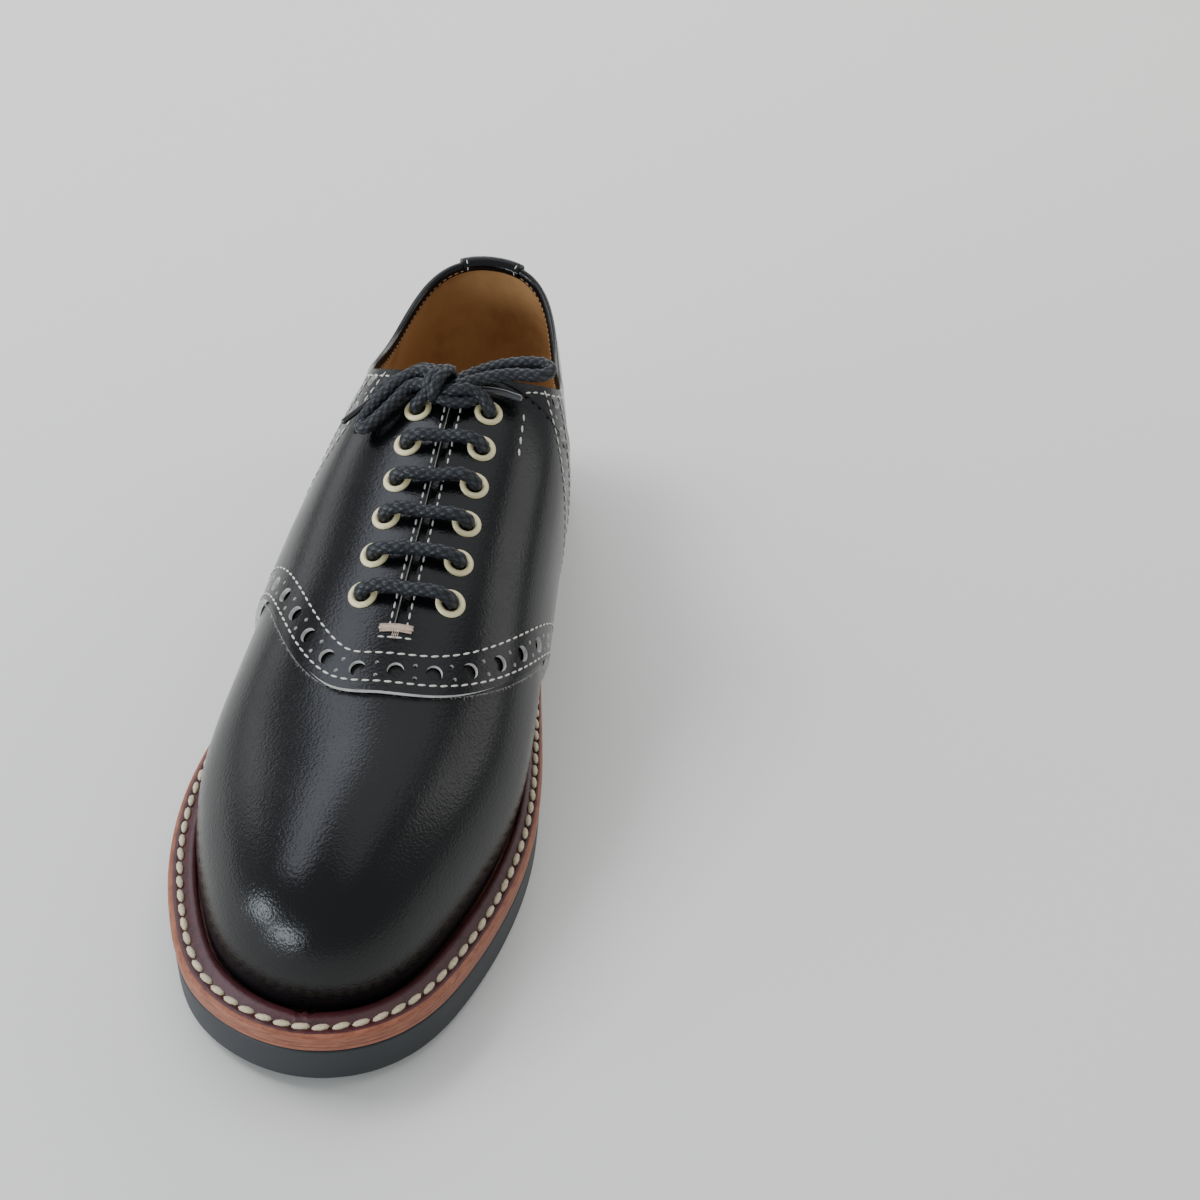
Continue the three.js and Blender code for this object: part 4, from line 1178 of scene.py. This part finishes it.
def welt_ring():
    """Welt: natural edge below, oxblood top that dips under the stitches and swells to a rib."""
    reach = share_where(LOOP_SIDE, LOOP_T, lambda p: p[..., 2] > feather(p[..., 1]) + WELT)
    wall = last_point(LOOP_SIDE, LOOP_T, reach) - last_point(LOOP_SIDE, LOOP_T, 0.0)
    inner = eased(np.hypot(wall[:, 0], wall[:, 1]) + 0.5)
    # share of the way in from the outer edge, height above the feather line
    profile = [
        (0.0, 0.0), (0.0, 0.25), (-0.02, 0.9), (0.0, 1.5), (0.035, 1.86), (0.09, 2.08), (0.15, 2.17),
        (0.17, 2.1), (0.2, 2.16), (0.29, 2.12), (0.36, 1.8), (0.46, 1.78), (0.55, 2.05), (0.68, 2.5),
        (0.82, 2.65), (0.94, 2.4), (1.0, 1.9), (1.0, 0.0),
    ]

    def outline(share):
        p = loop(SOLE_MARGIN + (inner - SOLE_MARGIN) * share)
        return eased(p) if share > 0.3 else p

    made = solid("welt_strip", stacked(profile, outline, feather), OXBLOOD, 50, capped=False)
    made.data.materials.append(NATURAL)
    for k, face in enumerate(made.data.polygons):
        face.material_index = 1 if k // ROUND <= 6 else 0
    keep(made, "welt", slot="welt_leather")
    middle = loop(SOLE_MARGIN + (inner - SOLE_MARGIN) * 0.41)
    middle[:, 2] = feather(middle[:, 1]) + 2.05
    line = np.concatenate([middle, middle[:2]])
    up = np.tile([0.0, 0.0, 1.0], (len(line), 1))
    stitch("welt_stitches", [line], [up], CREAM_THREAD, 5.0, 4.7, 1.9, 1.5, 0.12, 0.14, 3)


welt_ring()


def heel_block():
    """Low rubber heel with a lifted front edge."""
    sections = np.linspace(0, 1, 60)

    def outline(place):
        inset, back = place
        sides = []
        for side in (-1, 1):
            ts = np.linspace(0.8, 1.0, 400)
            ys = feather_line(side, ts, LAST["margin"](ts) * WELT_MARGIN - inset)[:, 1]
            rising = slice(np.argmax(ys) + 1)
            start = np.interp(HEEL_BREAST + back, ys[rising], ts[rising])
            t = start + (1 - start) * sections
            sides.append(feather_line(side, t, LAST["margin"](t) * WELT_MARGIN - inset))
        return np.concatenate([sides[0], sides[1][-2::-1]])

    top = HEEL_HEIGHT - GAP
    levels = [
        ((1.2, 0.6), 0.0), ((0.3, 0.15), 0.35), ((0.05, 0.0), 1.1), ((0.1, 0.0), top - 0.5),
        ((0.5, 0.3), top),
    ]
    rings = stacked(levels, outline, lambda y: 0 * y)
    keep(slab("heel_block", rings, RUBBER_BLACK, 30, pointed=False), "heel", slot="rubber")


heel_block()


def insole_sheet():
    levels = ((0.0, 0.0), (0.0, INSOLE - 0.6), (0.6, INSOLE), (6.0, INSOLE + 0.1))
    rings = stacked(levels, lambda inset: loop(-WALL - 2 * GAP - inset), feather)
    keep(slab("insole_sheet", rings, SOCK, 40), "insole", slot="insole_leather")


insole_sheet()

# ---------------------------------------------------------------- upper and lining
ACROSS = 30


def whole_skin(name, outside, inside, material, t_count=150):
    """A shell over both sides: joined along the ridge to the throat's end, and round the heel."""
    joined = int(t_count * 0.62)
    ts = np.r_[
        THROAT_END * np.linspace(0, 1, joined) ** 1.15,
        THROAT_END + (1 - THROAT_END) * (1 - np.cos(np.linspace(0, math.pi, t_count - joined)[1:])) / 2,
    ]
    w = np.linspace(0, 1, ACROSS)
    points, faces = [], []
    for side in (-1, 1):
        q = side * (1 - w)
        q[-1] = side * 1e-9
        t, qq = np.meshgrid(ts, q, indexing="ij")
        for off in (outside, inside):
            p = skin(t, qq, np.full(t.shape, off))
            p[:, 0, 2] = skin(t[:, :1], qq[:, :1])[:, 0, 2]
            start = len(points) * t.size
            points.append(p.reshape(-1, 3))
            faces += grid_faces(len(ts), ACROSS, start)
    for k in (0, 2):
        faces += walls(len(ts), ACROSS, joined, k * len(ts) * ACROSS)
    return outwards(mesh_object(name, metres(np.concatenate(points)), faces, material))


upper = whole_skin("upper_leather", 0.0, -WALL + LINING + 0.1, BLACK)
lining = whole_skin("lining_leather", -WALL + LINING, -WALL, TAN, 110)


def throat_cutter():
    """A long narrow block with a round front end, to open the throat."""
    front, back = (FRONT + SOLE_LENGTH * share for share, _ in THROAT)
    back += 0.4 * (back - front)
    start, end = (np.array([throat_x(y), y]) for y in (front, back))
    along = unit(end - start)
    across = np.array([along[1], -along[0]]) * THROAT_WIDTH / 2
    outline = [end - across]
    for k in range(9):
        a = math.pi * k / 8
        outline.append(start - across * math.cos(a) - along * THROAT_WIDTH / 2 * math.sin(a))
    outline.append(end + across)
    low, high = 50.0, 130.0
    points = [(*p, z) for z in (low, high) for p in outline]
    n = len(outline)
    faces = [tuple(range(n))[::-1], tuple(range(n, 2 * n))]
    faces += [(i, (i + 1) % n, n + (i + 1) % n, n + i) for i in range(n)]
    return outwards(mesh_object("throat_cutter", metres(points), faces, RAW, False))


def carve(made, cutter):
    modifier = made.modifiers.new("cut", "BOOLEAN")
    modifier.operation, modifier.solver, modifier.object = "DIFFERENCE", "MANIFOLD", cutter
    graph = bpy.context.evaluated_depsgraph_get()
    data = bpy.data.meshes.new_from_object(made.evaluated_get(graph), depsgraph=graph)
    made.modifiers.clear()
    made.data = data
    return made


cutter = throat_cutter()
for piece in (upper, lining):
    carve(piece, cutter)
keep(upper, "upper", slot="upper_leather")
keep(lining, slot="insole_leather")


# ---------------------------------------------------------------- saddle
def saddle_sheet(rows=70, columns=90):
    """Places over each half of the saddle, front edge to rear edge, foot to ridge."""
    halves = []
    for side in (-1, 1):
        w = np.linspace(0, 1, columns)
        t_front, t_rear = FRONT_T[side](w), REAR_T[side](w)
        at_ridge = (THROAT_END - FRONT_T[side](1.0)) / (REAR_T[side](1.0) - FRONT_T[side](1.0))
        joined = int(rows * 0.75)
        share = np.r_[
            at_ridge * np.linspace(0, 1, joined),
            at_ridge + (1 - at_ridge) * np.linspace(0, 1, rows - joined + 1)[1:] ** 1.5,
        ]
        t = t_front[None] + (t_rear - t_front)[None] * share[:, None]
        q = np.abs(foot_q(t, side, FOOT_RISE)) * (1 - w)[None]
        rear = 1 - rear_edge(side, w)[1] / top_share(side, t_rear)
        late = np.clip((share - 0.35) / 0.65, 0, 1)[:, None] ** 1.5
        q = side * (q * (1 - late) + rear[None] * late)
        q[:, -1] = side * 1e-9
        halves.append((t, q))
    return halves, joined


def saddle_shell():
    """The saddle as one closed shell, and its outer faces with their true normals."""
    halves, joined = saddle_sheet()
    rows, columns = halves[0][0].shape
    n = rows * columns
    points, normals, faces = [], [], []
    for t, q in halves:
        for off in (SADDLE_TOP, SADDLE_GAP):
            faces += grid_faces(rows, columns, len(points) * n)
            points.append(skin(t, q, np.full(t.shape, off)).reshape(-1, 3))
            normals.append(skin_normal(t, q).reshape(-1, 3))
    sheet_faces = len(faces)
    for k in (0, 2):
        faces += walls(rows, columns, joined, k * n, ends=True)
    place = metres(np.concatenate(points))
    made = mesh_object("saddle_leather", place, faces, SADDLE_BLACK)
    made.data.materials.append(RAW)
    made.data.polygons.foreach_set("material_index", [int(k >= sheet_faces) for k in range(len(faces))])
    return outwards(made), (place, np.concatenate(normals), faces[:sheet_faces])


def raw_walls(cutter):
    """Marks a cutter's faces, so that what it cuts shows the leather's raw inside."""
    cutter.data.materials.clear()
    cutter.data.materials.append(SADDLE_BLACK)
    cutter.data.materials.append(RAW)
    cutter.data.polygons.foreach_set("material_index", [1] * len(cutter.data.polygons))
    return cutter


def carry_normals(made, sheet):
    """Gives the cut leather's faces the smooth normals of the uncut sheet."""
    place, normals, faces = sheet
    triangles = [f[:3] for f in faces] + [(f[0], f[2], f[3]) for f in faces]
    tree = BVHTree.FromPolygons([tuple(p) for p in place], triangles)
    data = made.data
    smooth = []
    for v in data.vertices:
        near, _, index, _ = tree.find_nearest(v.co)
        a, b, c = triangles[index]
        pa, pb, pc = (Vector(place[k]) for k in (a, b, c))
        whole = (pb - pa).cross(pc - pa)
        area = whole.length_squared or 1.0
        wb = whole.dot((near - pa).cross(pc - pa)) / area
        wc = whole.dot((pb - pa).cross(near - pa)) / area
        n = normals[a] * (1 - wb - wc) + normals[b] * wb + normals[c] * wc
        smooth.append(Vector(n).normalized())
    loops = [Vector((0, 0, 1))] * len(data.loops)
    for face in data.polygons:
        for k in face.loop_indices:
            own = smooth[data.loops[k].vertex_index]
            facing = face.normal.dot(own)
            raw = face.material_index == 1 or face.area < 1e-12
            loops[k] = face.normal.copy() if raw else own * (1 if facing > 0 else -1)
    data.polygons.foreach_set("use_smooth", [True] * len(data.polygons))
    data.normals_split_custom_set(loops)


HOLE = 4.6
PINHOLE = 1.15
HOLE_SPACING = 10.6
LOWER_ROW, HOLE_ROW, UPPER_ROW = 3.0, 6.7, 11.7
EDGE_ENDS = 0.97


def band_line(table, side, distance, count=260):
    """A line along an edge of the saddle, set in from it by a distance in mm.

    Its third value is the distance below the collar's edge."""
    if table is REAR_T:
        return rear_line(side, distance, count)
    q = np.linspace(-EDGE_ENDS, EDGE_ENDS, count)
    q = np.where(np.abs(q) < 1e-5, 1e-5, q)
    t, q = shift_line(edge_t(table, q), q, distance)
    return t, q, np.full(count, 99.0)


def above_foot(t, q, room):
    """Which places are this far above the saddle's lower edge."""
    side = np.where(q < 0, -1.0, 1.0)
    low = np.abs(foot_q(t, side, FOOT_RISE + room))
    return np.abs(q) < low


def band_punches():
    """Places of the large holes, and of the pairs of small ones between them."""
    large, small = [], []
    for table, side in ((FRONT_T, 0), (REAR_T, -1), (REAR_T, 1)):
        lines = {d: band_line(table, side, HOLE_ROW + d) for d in (-1.9, 0.0, 1.9)}
        t, q, below = lines[0.0]
        s = run_of(skin(t, q, np.full(t.shape, SADDLE_TOP)))
        index = np.arange(len(s), dtype=float)
        start = 2.3 + np.interp(0, q, s) if side == 0 else s[(below > 6.0).sum() - 1]
        first = start - HOLE_SPACING * math.floor(start / HOLE_SPACING)
        for k, d in enumerate(np.arange(first, s[-1] - 2, HOLE_SPACING / 2)):
            at = np.interp(d, s, index)
            for row, kind in ((0.0, large),) if k % 2 == 0 else ((-1.9, small), (1.9, small)):
                line_t, line_q, below = lines[row]
                if np.interp(at, index, below) > (5.8 if row == 0.0 else 4.4):
                    kind.append((np.interp(at, index, line_t), np.interp(at, index, line_q)))
    picked = []
    for places, radius in ((large, HOLE / 2), (small, PINHOLE / 2)):
        t, q = (np.array(c) for c in zip(*places))
        inside = above_foot(t, q, radius + 0.8)
        picked.append((t[inside], q[inside], radius))
    return picked


def make_punch_tree():
    """Punches: a short rod at each point, along its leather's normal, as wide as the point says."""
    inputs = [("Depth", FLOAT, 0.006), ("Sides", WHOLE, 20)]
    tree, given, made = geometry_tree("leather_punches", inputs)
    form = {"Vertices": given["Sides"], "Radius": 1.0, "Depth": given["Depth"]}
    rod = put(tree, "GeometryNodeMeshCylinder", form, fill_type="NGON").outputs["Mesh"]
    turn = put(tree, "FunctionNodeAlignRotationToVector", {"Vector": attribute(tree, "lie")}, axis="Z")
    wide = attribute(tree, "wide", "FLOAT")
    size = put(tree, "ShaderNodeCombineXYZ", {0: wide, 1: wide, 2: 1.0}).outputs[0]
    points = put(tree, "GeometryNodeMeshToPoints", {"Mesh": given["Geometry"]}).outputs[0]
    return scatter(tree, given, made, points, rod, turn.outputs[0], size)


PUNCHES = make_punch_tree()


def punches(name, places, normals, radii, depth, sides):
    made = lying(name, places, [], normals)
    wide = made.data.attributes.new("wide", "FLOAT", "POINT")
    wide.data.foreach_set("value", np.asarray(radii, np.float32) * MM)
    return grow(made, PUNCHES, Depth=depth * MM, Sides=sides, Material=RAW)


def bore_punches(depth, off):
    seats = [seat_of(side, row) for side in (-1, 1) for row in range(EYELET_ROWS)]
    places = np.array([p + n * off for p, n in seats])
    radii = [EYELET_BORE / 2 + 0.36] * len(seats)
    return punches("eyelet_bores", places, [n for _, n in seats], radii, depth, 32)


saddle, saddle_true = saddle_shell()
carve(saddle, raw_walls(cutter))
bores = bore_punches(5.0, 0.0)
carve(saddle, raw_walls(bores))
bpy.data.objects.remove(bores)
for t, q, radius in band_punches():
    rods = punches(
        "band_holes", skin(t, q, np.full(t.shape, SADDLE_TOP)), skin_normal(t, q),
        [radius] * len(t), 4.0, 28 if radius > 1 else 10,
    )
    carve(saddle, raw_walls(rods))
    bpy.data.objects.remove(rods)
carry_normals(saddle, saddle_true)
keep(saddle, "saddle", slot="upper_leather")


# ---------------------------------------------------------------- stitches and raw edges
def saddle_row(t, q, up=0.12):
    return skin(t, q, np.full(t.shape, SADDLE_TOP + up)), skin_normal(t, q)


def band_stitches():
    lines, lies = [], []
    for table, side in ((FRONT_T, 0), (REAR_T, -1), (REAR_T, 1)):
        for distance in (LOWER_ROW, UPPER_ROW):
            t, q, below = band_line(table, side, distance, 500)
            inside = above_foot(t, q, 0.6) & (below > 3.7)
            p, n = saddle_row(t[inside], q[inside])
            lines.append(p)
            lies.append(n)
    stitch("band_stitches", lines, lies, WHITE_THREAD, 3.05, 2.35, 0.62, 0.5, 0.05, 0.07, 5)


def places_along(xs, ys, up=0.12):
    """Saddle places under points of the plan."""
    spots = [skin_at(x, y, -1 if x < throat_x(y) else 1) for x, y in zip(xs, ys)]
    t, q = (np.array(c) for c in zip(*spots))
    return saddle_row(t, q, up)


def facing_stitches():
    """Rows beside the throat, along the facings' top edge, and the short row by the top eyelets."""
    lines, lies = [], []
    for side in (-1, 1):
        ys = np.linspace(-51.0, 27.0, 120)
        p, n = places_along(throat_x(ys) + side * 2.35, ys)
        lines.append(p)
        lies.append(n)
        t = np.linspace(THROAT_END + 0.003, float(REAR_T[side](1.0)) - 0.006, 120)
        p, n = saddle_row(t, below_top_edge(side, t, 2.6))
        lines.append(p)
        lies.append(n)
    stitch("facing_stitches", lines, lies, WHITE_THREAD, 3.0, 2.3, 0.6, 0.5, 0.05, 0.07, 6)
    ys = np.linspace(11.5, 23.2, 12)
    p, n = places_along(24.5 - 0.02 * (ys - 7.0), ys)
    stitch("anchor_stitches", [p], [n], WHITE_THREAD, 3.4, 2.7, 0.7, 0.55, 0.1, 0.12, 8)


def make_fuzz_tree():
    """Loose fibres along a raw edge: thin tapered hairs that lean out at random."""
    tree, given, made = geometry_tree("raw_fibres", [
        ("Spacing", FLOAT, 0.0004), ("Length", FLOAT, 0.0011), ("Width", FLOAT, 0.00007),
        ("Spread", FLOAT, 1.4), ("Seed", WHOLE, 11),
    ])
    points = even_points(tree, given)
    form = {"Vertices": 3, "Side Segments": 1, "Radius Top": 0.15, "Radius Bottom": 1.0, "Depth": 1.0}
    hair = put(tree, "GeometryNodeMeshCone", form).outputs["Mesh"]
    turn = put(tree, "FunctionNodeAlignRotationToVector", {"Vector": attribute(tree, "lie")}, axis="Z")
    reach = {0: (-0.5, -0.5, -0.5), 1: (0.5, 0.5, 0.5), "Seed": given["Seed"]}
    chance = put(tree, "FunctionNodeRandomValue", reach, data_type="FLOAT_VECTOR").outputs[0]
    both = turned(tree, turn.outputs[0], vector_sum(tree, chance, given["Spread"], "SCALE"))
    share = {2: 0.2, 3: 1.0, "Seed": given["Seed"]}
    share = put(tree, "FunctionNodeRandomValue", share, data_type="FLOAT").outputs[1]
    length = times(tree, share, given["Length"])
    size = put(tree, "ShaderNodeCombineXYZ", {0: given["Width"], 1: given["Width"], 2: length})
    return scatter(tree, given, made, points, hair, both, size.outputs[0])


FIBRES = make_fuzz_tree()


def raw_fibres():
    """Fibres along the saddle's cut edges, each leaning away from the leather."""
    lines, lies = [], []
    for table, side in ((FRONT_T, 0), (REAR_T, -1), (REAR_T, 1)):
        t, q, below = band_line(table, side, 0.0, 500)
        inner_t, inner_q, _ = band_line(table, side, 1.0, 500)
        inside = above_foot(t, q, 0.3) & (below > 0.6)
        edge = skin(t, q, np.full(t.shape, SADDLE_TOP - 0.35))
        away = unit(edge - skin(inner_t, inner_q, np.full(t.shape, SADDLE_TOP - 0.35)))
        lines.append(edge[inside])
        lies.append(away[inside])
    keep(
        grow(
            guide("edge_fibres", lines, lies), FIBRES, Spacing=0.45 * MM, Length=1.3 * MM,
            Width=0.05 * MM, Spread=2.2, Seed=12, Material=FIBRE,
        ),
        slot="upper_leather",
    )


def bartack():
    """Satin bar across the throat's foot, with a short stub below it."""
    y = -51.9
    x = throat_x(y) - 0.4

    def across(steps, bend, off, side=None):
        """Places beside the bar's middle, and which way the leather faces there."""
        spots = [surface_at(side or (-1 if dx < 0 else 1), x + dx, bend(dx), off) for dx in steps]
        return (np.array(c) for c in zip(*spots))

    line, lie = across(np.linspace(-4.6, 4.6, 15), lambda dx: y - 0.012 * dx * dx, SADDLE_TOP + 0.3)
    ahead = unit(np.cross(lie, np.gradient(line, axis=0)))
    a = 2 * math.pi * np.arange(14)[:, None] / 14
    rings = []
    for k, (p, n) in enumerate(zip(line, lie)):
        share = abs(k / (len(line) - 1) * 2 - 1)
        wide = 0.62 * math.sqrt(max(1 - share**3, 0.04))
        rings.append(p + ahead[k] * np.cos(a) * wide + n * np.sin(a) * 0.55)
    keep(solid("tack_bar", rings, PINK_THREAD), slot="lace")
    satin, ways = [], []
    for k in np.linspace(0.6, len(line) - 1.6, 30):
        i = int(k)
        p = line[i] * (1 - k + i) + line[i + 1] * (k - i)
        a = np.linspace(-1, 1, 5)[:, None]
        satin.append(p + ahead[i] * a * 0.85 + lie[i] * (0.62 - 0.5 * a * a))
        ways.append(np.tile(lie[i], (5, 1)))
    stub = surface_at(-1, x - 0.2, y - 2.0, SADDLE_TOP + 0.35)
    for dx in (-0.75, -0.25, 0.25, 0.75):
        p, n = surface_at(-1 if dx < 0 else 1, x + dx, y - 2.0, SADDLE_TOP + 0.4)
        satin.append(np.array([p + [0, a, 0] for a in (-1.1, 0.0, 1.1)]))
        ways.append(np.tile(stub[1], (3, 1)))
    stitch("tack_threads", satin, ways, PINK_THREAD, 0.95, 1.0, 0.28, 0.3, 0.0, 0.05, 4)
    corner, lies = [], []
    for side, dx in ((-1, -2.4), (1, 2.4)):
        steps = [dx + a for a in (-1.2, 0, 1.2)]
        p, n = across(steps, lambda at: y - 2.3 - abs(at - dx) * 0.3, SADDLE_TOP + 0.12, side)
        corner.append(p)
        lies.append(n)
    stitch("tack_corners", corner, lies, WHITE_THREAD, 2.2, 2.0, 0.55, 0.5, 0, 0.1, 9)


band_stitches()
facing_stitches()
raw_fibres()
bartack()


# ---------------------------------------------------------------- collar, tab and tongue
def collar_binding():
    """A narrow bound edge along the top line, with a row of stitches inside."""
    ts = [np.linspace(float(REAR_T[side](1.0)) + 0.002, 1.0, 150) for side in (-1, 1)]
    halves = [
        skin(t, side * np.full(t.shape, 1e-7), np.full(t.shape, -0.95)) + [0, 0, 0.15]
        for t, side in ((ts[0], -1), (ts[1][::-1][1:], 1))
    ]
    fine, _ = smooth_path(np.concatenate(halves)[::3], 1.0)
    tangent = unit(np.gradient(fine, axis=0))
    side = unit(np.cross(tangent, [0, 0, 1.0]))
    up = np.cross(side, tangent)
    half = [(-1.32, -2.6), (-1.34, -1.2), (-1.2, 0.1), (-0.8, 0.72)]
    section = half + [(0.0, 1.0)] + [(-a, b) for a, b in half[::-1]]
    section += [(1.0, -2.6), (1.0, -0.2), (-1.0, -0.2), (-1.0, -2.6)]
    rings = np.stack([fine + side * a + up * b for a, b in section], 1)
    keep(solid("collar_binding", rings, SADDLE_BLACK, 60), slot="upper_leather")
    inwards = side if side[0][0] > 0 else -side
    inner = fine + inwards * 1.42 - up * 1.9
    stitch("collar_stitches", [inner], [inwards], TAN_THREAD, 2.6, 1.8, 0.4, 0.3, 0.0, 0.05, 14)


def back_tab():
    """Tab folded over the back of the collar, sewn at both ends."""
    half_width, low, thick = 11.5, 12.0, 1.0
    ends = {}
    for side in (-1, 1):
        lo, hi = 0.9, 1.0
        for _ in range(40):
            t = (lo + hi) / 2
            x = last_point(side, t, top_share(side, t))[0] - LAST["axis"](1.0) * BALL_WIDTH
            lo, hi = (t, hi) if abs(x) > half_width else (lo, t)
        ends[side] = lo
    columns = []
    for side in (-1, 1):
        ts = np.linspace(ends[side], 1.0, 22)
        columns += [(side, t) for t in (ts if side < 0 else ts[::-1][1:])]
    rings = []
    for side, t in columns:
        top = float(top_share(side, t))
        foot = float(share_where(side, t, lambda p: p[..., 2] > top_edge(p[..., 1]) - low))
        edge, normal = last_point(side, t, top), last_normal(side, t, top)

        def leg(start, off, way):
            """Places from a leg's end up to the fold, on its far face and on its near one."""
            spots = [
                (last_point(side, t, v), last_normal(side, t, v) * way)
                for v in np.linspace(start, top, 9)[:-1]
            ]
            return [(p + n * (off + thick), p + n * off) for p, n in spots]

        outer, fold = leg(foot, 0.4, 1), []
        inner = leg(top - (top - foot) * 0.14, WALL + 0.4, -1)
        for a in np.linspace(0, math.pi, 9):
            direction = normal * math.cos(a) + np.array([0, 0, 0.85]) * math.sin(a)
            fold.append((edge - normal * 1.0 + direction * 2.4, edge - normal * 1.0 + direction * 1.42))
        line = outer + fold + inner[::-1]
        rings.append([a for a, _ in line] + [b for _, b in line[::-1]])
    made = slab("back_tab_leather", rings, SADDLE_BLACK, 45, pointed=False)
    keep(made, "back_tab", slot="upper_leather")
    lines, lies = [], []
    for k in (3, len(rings) - 4):
        side, t = columns[k]
        lines.append(np.array(rings[k][:17]))
        normal = last_normal(side, t, float(top_share(side, t)))
        a = math.pi * np.clip(np.arange(17) - 8, 0, None)[:, None] / 8
        lies.append(normal * np.cos(a) + np.array([0, 0, 1.0]) * np.sin(a))
    stitch("tab_stitches", lines, lies, WHITE_THREAD, 2.6, 1.9, 0.5, 0.4, 0.0, 0.06, 15)


def tongue():
    """Leaf under the facings, rounded at its top end."""
    front, back, low = 0.272, 0.583, 0.72
    w = np.linspace(0, 1, 20)
    corner = 1 - np.sqrt(1 - (1 - w) ** 2)
    rows = 70
    halves = []
    for side in (-1, 1):
        end = back - 0.05 * corner
        t = np.sqrt(front + (end - front)[None] * np.linspace(0, 1, rows)[:, None])
        v = (low + (1 - low) * w)[None] + 0 * t
        layers = []
        for off in (-WALL - 0.45, -WALL - 2.3):
            layers.append(last_point(side, t, v) + last_normal(side, t, v) * off)
        halves.append(layers)
    top = np.concatenate([halves[0][0], halves[1][0][:, -2::-1]], 1)
    under = np.concatenate([halves[0][1], halves[1][1][:, -2::-1]], 1)
    ripple = 0.18 * np.sin(np.linspace(0, 1, top.shape[1]) * 2 * math.pi * 9)
    top[..., 2] -= np.abs(ripple)[None] * 0.6
    rows, columns = top.shape[:2]
    n = rows * columns
    faces = grid_faces(rows, columns) + [f[::-1] for f in grid_faces(rows, columns, n)]
    ring = [(0, j) for j in range(columns)] + [(i, columns - 1) for i in range(1, rows)]
    ring += [(rows - 1, j) for j in range(columns - 2, -1, -1)]
    ring += [(i, 0) for i in range(rows - 2, 0, -1)]
    ring = [i * columns + j for i, j in ring]
    faces += [(a, b, b + n, a + n) for a, b in zip(ring, ring[1:] + ring[:1])]
    points = np.concatenate([top.reshape(-1, 3), under.reshape(-1, 3)])
    made = outwards(mesh_object("tongue_leaf", metres(points), faces, TONGUE_BLACK))
    keep(crease(made, 40), "tongue", slot="upper_leather")


collar_binding()
back_tab()
tongue()
bpy.data.objects.remove(cutter)

# ---------------------------------------------------------------- floor and light
def make_floor():
    size = 6.0
    corners = [(-size, -size, 0), (size, -size, 0), (size, size, 0), (-size, size, 0)]
    floor = mesh_object(
        "floor", corners, [(0, 1, 2, 3)],
        new_material("floor_paper", (0.84, 0.832, 0.80), 0.75)[0], False,
    )


def make_world():
    world = bpy.data.worlds.new("room")
    world.use_nodes = True
    bpy.context.scene.world = world
    sky = world.node_tree.nodes["Background"].inputs
    sky[0].default_value, sky[1].default_value = (0.95, 0.98, 1.0, 1), 0.5


ROOM = 1.6


def panel(name, turn, rise, size, radiance, colour, reflected=True):
    """A soft panel in a direction from the shoe, as bright as the room it stands for."""
    turn, rise = math.radians(turn), math.radians(rise)
    aim = (0, -0.05, 0.05)
    place = (
        aim[0] + ROOM * math.cos(rise) * math.cos(turn),
        aim[1] + ROOM * math.cos(rise) * math.sin(turn),
        aim[2] + ROOM * math.sin(rise),
    )
    data = bpy.data.lights.new(name, "AREA")
    data.shape = "RECTANGLE"
    data.size, data.size_y = size
    data.energy = radiance * math.pi * size[0] * size[1]
    data.color = colour
    made = add_object(name, data)
    made.location = place
    made.rotation_euler = (Vector(aim) - Vector(place)).to_track_quat("-Z", "Y").to_euler()
    made.visible_glossy = reflected


make_floor()
make_world()
panel("back_window", 146, 54, (1.6, 0.66), 3.2, (0.84, 0.88, 1.0))
panel("ceiling", 60, 72, (1.4, 1.1), 0.75, (0.95, 1.0, 1.0))
panel("left_wall", 150, 14, (0.8, 0.4), 1.3, (0.97, 0.99, 1.0))
panel("low_window_left", -158, 11, (0.62, 0.3), 12.0, (0.84, 0.93, 1.0))
panel("low_window_front", -127, 7, (0.72, 0.28), 14.0, (0.84, 0.93, 1.0))
panel("right_wall", 20, 25, (0.5, 0.85), 1.6, (1.0, 0.99, 0.97))
panel("back_wall", 80, 26, (1.6, 0.6), 2.6, (1.0, 0.99, 0.96))
panel("key", 168, 52, (0.6, 0.6), 7.0, (1.0, 0.98, 0.95), reflected=False)
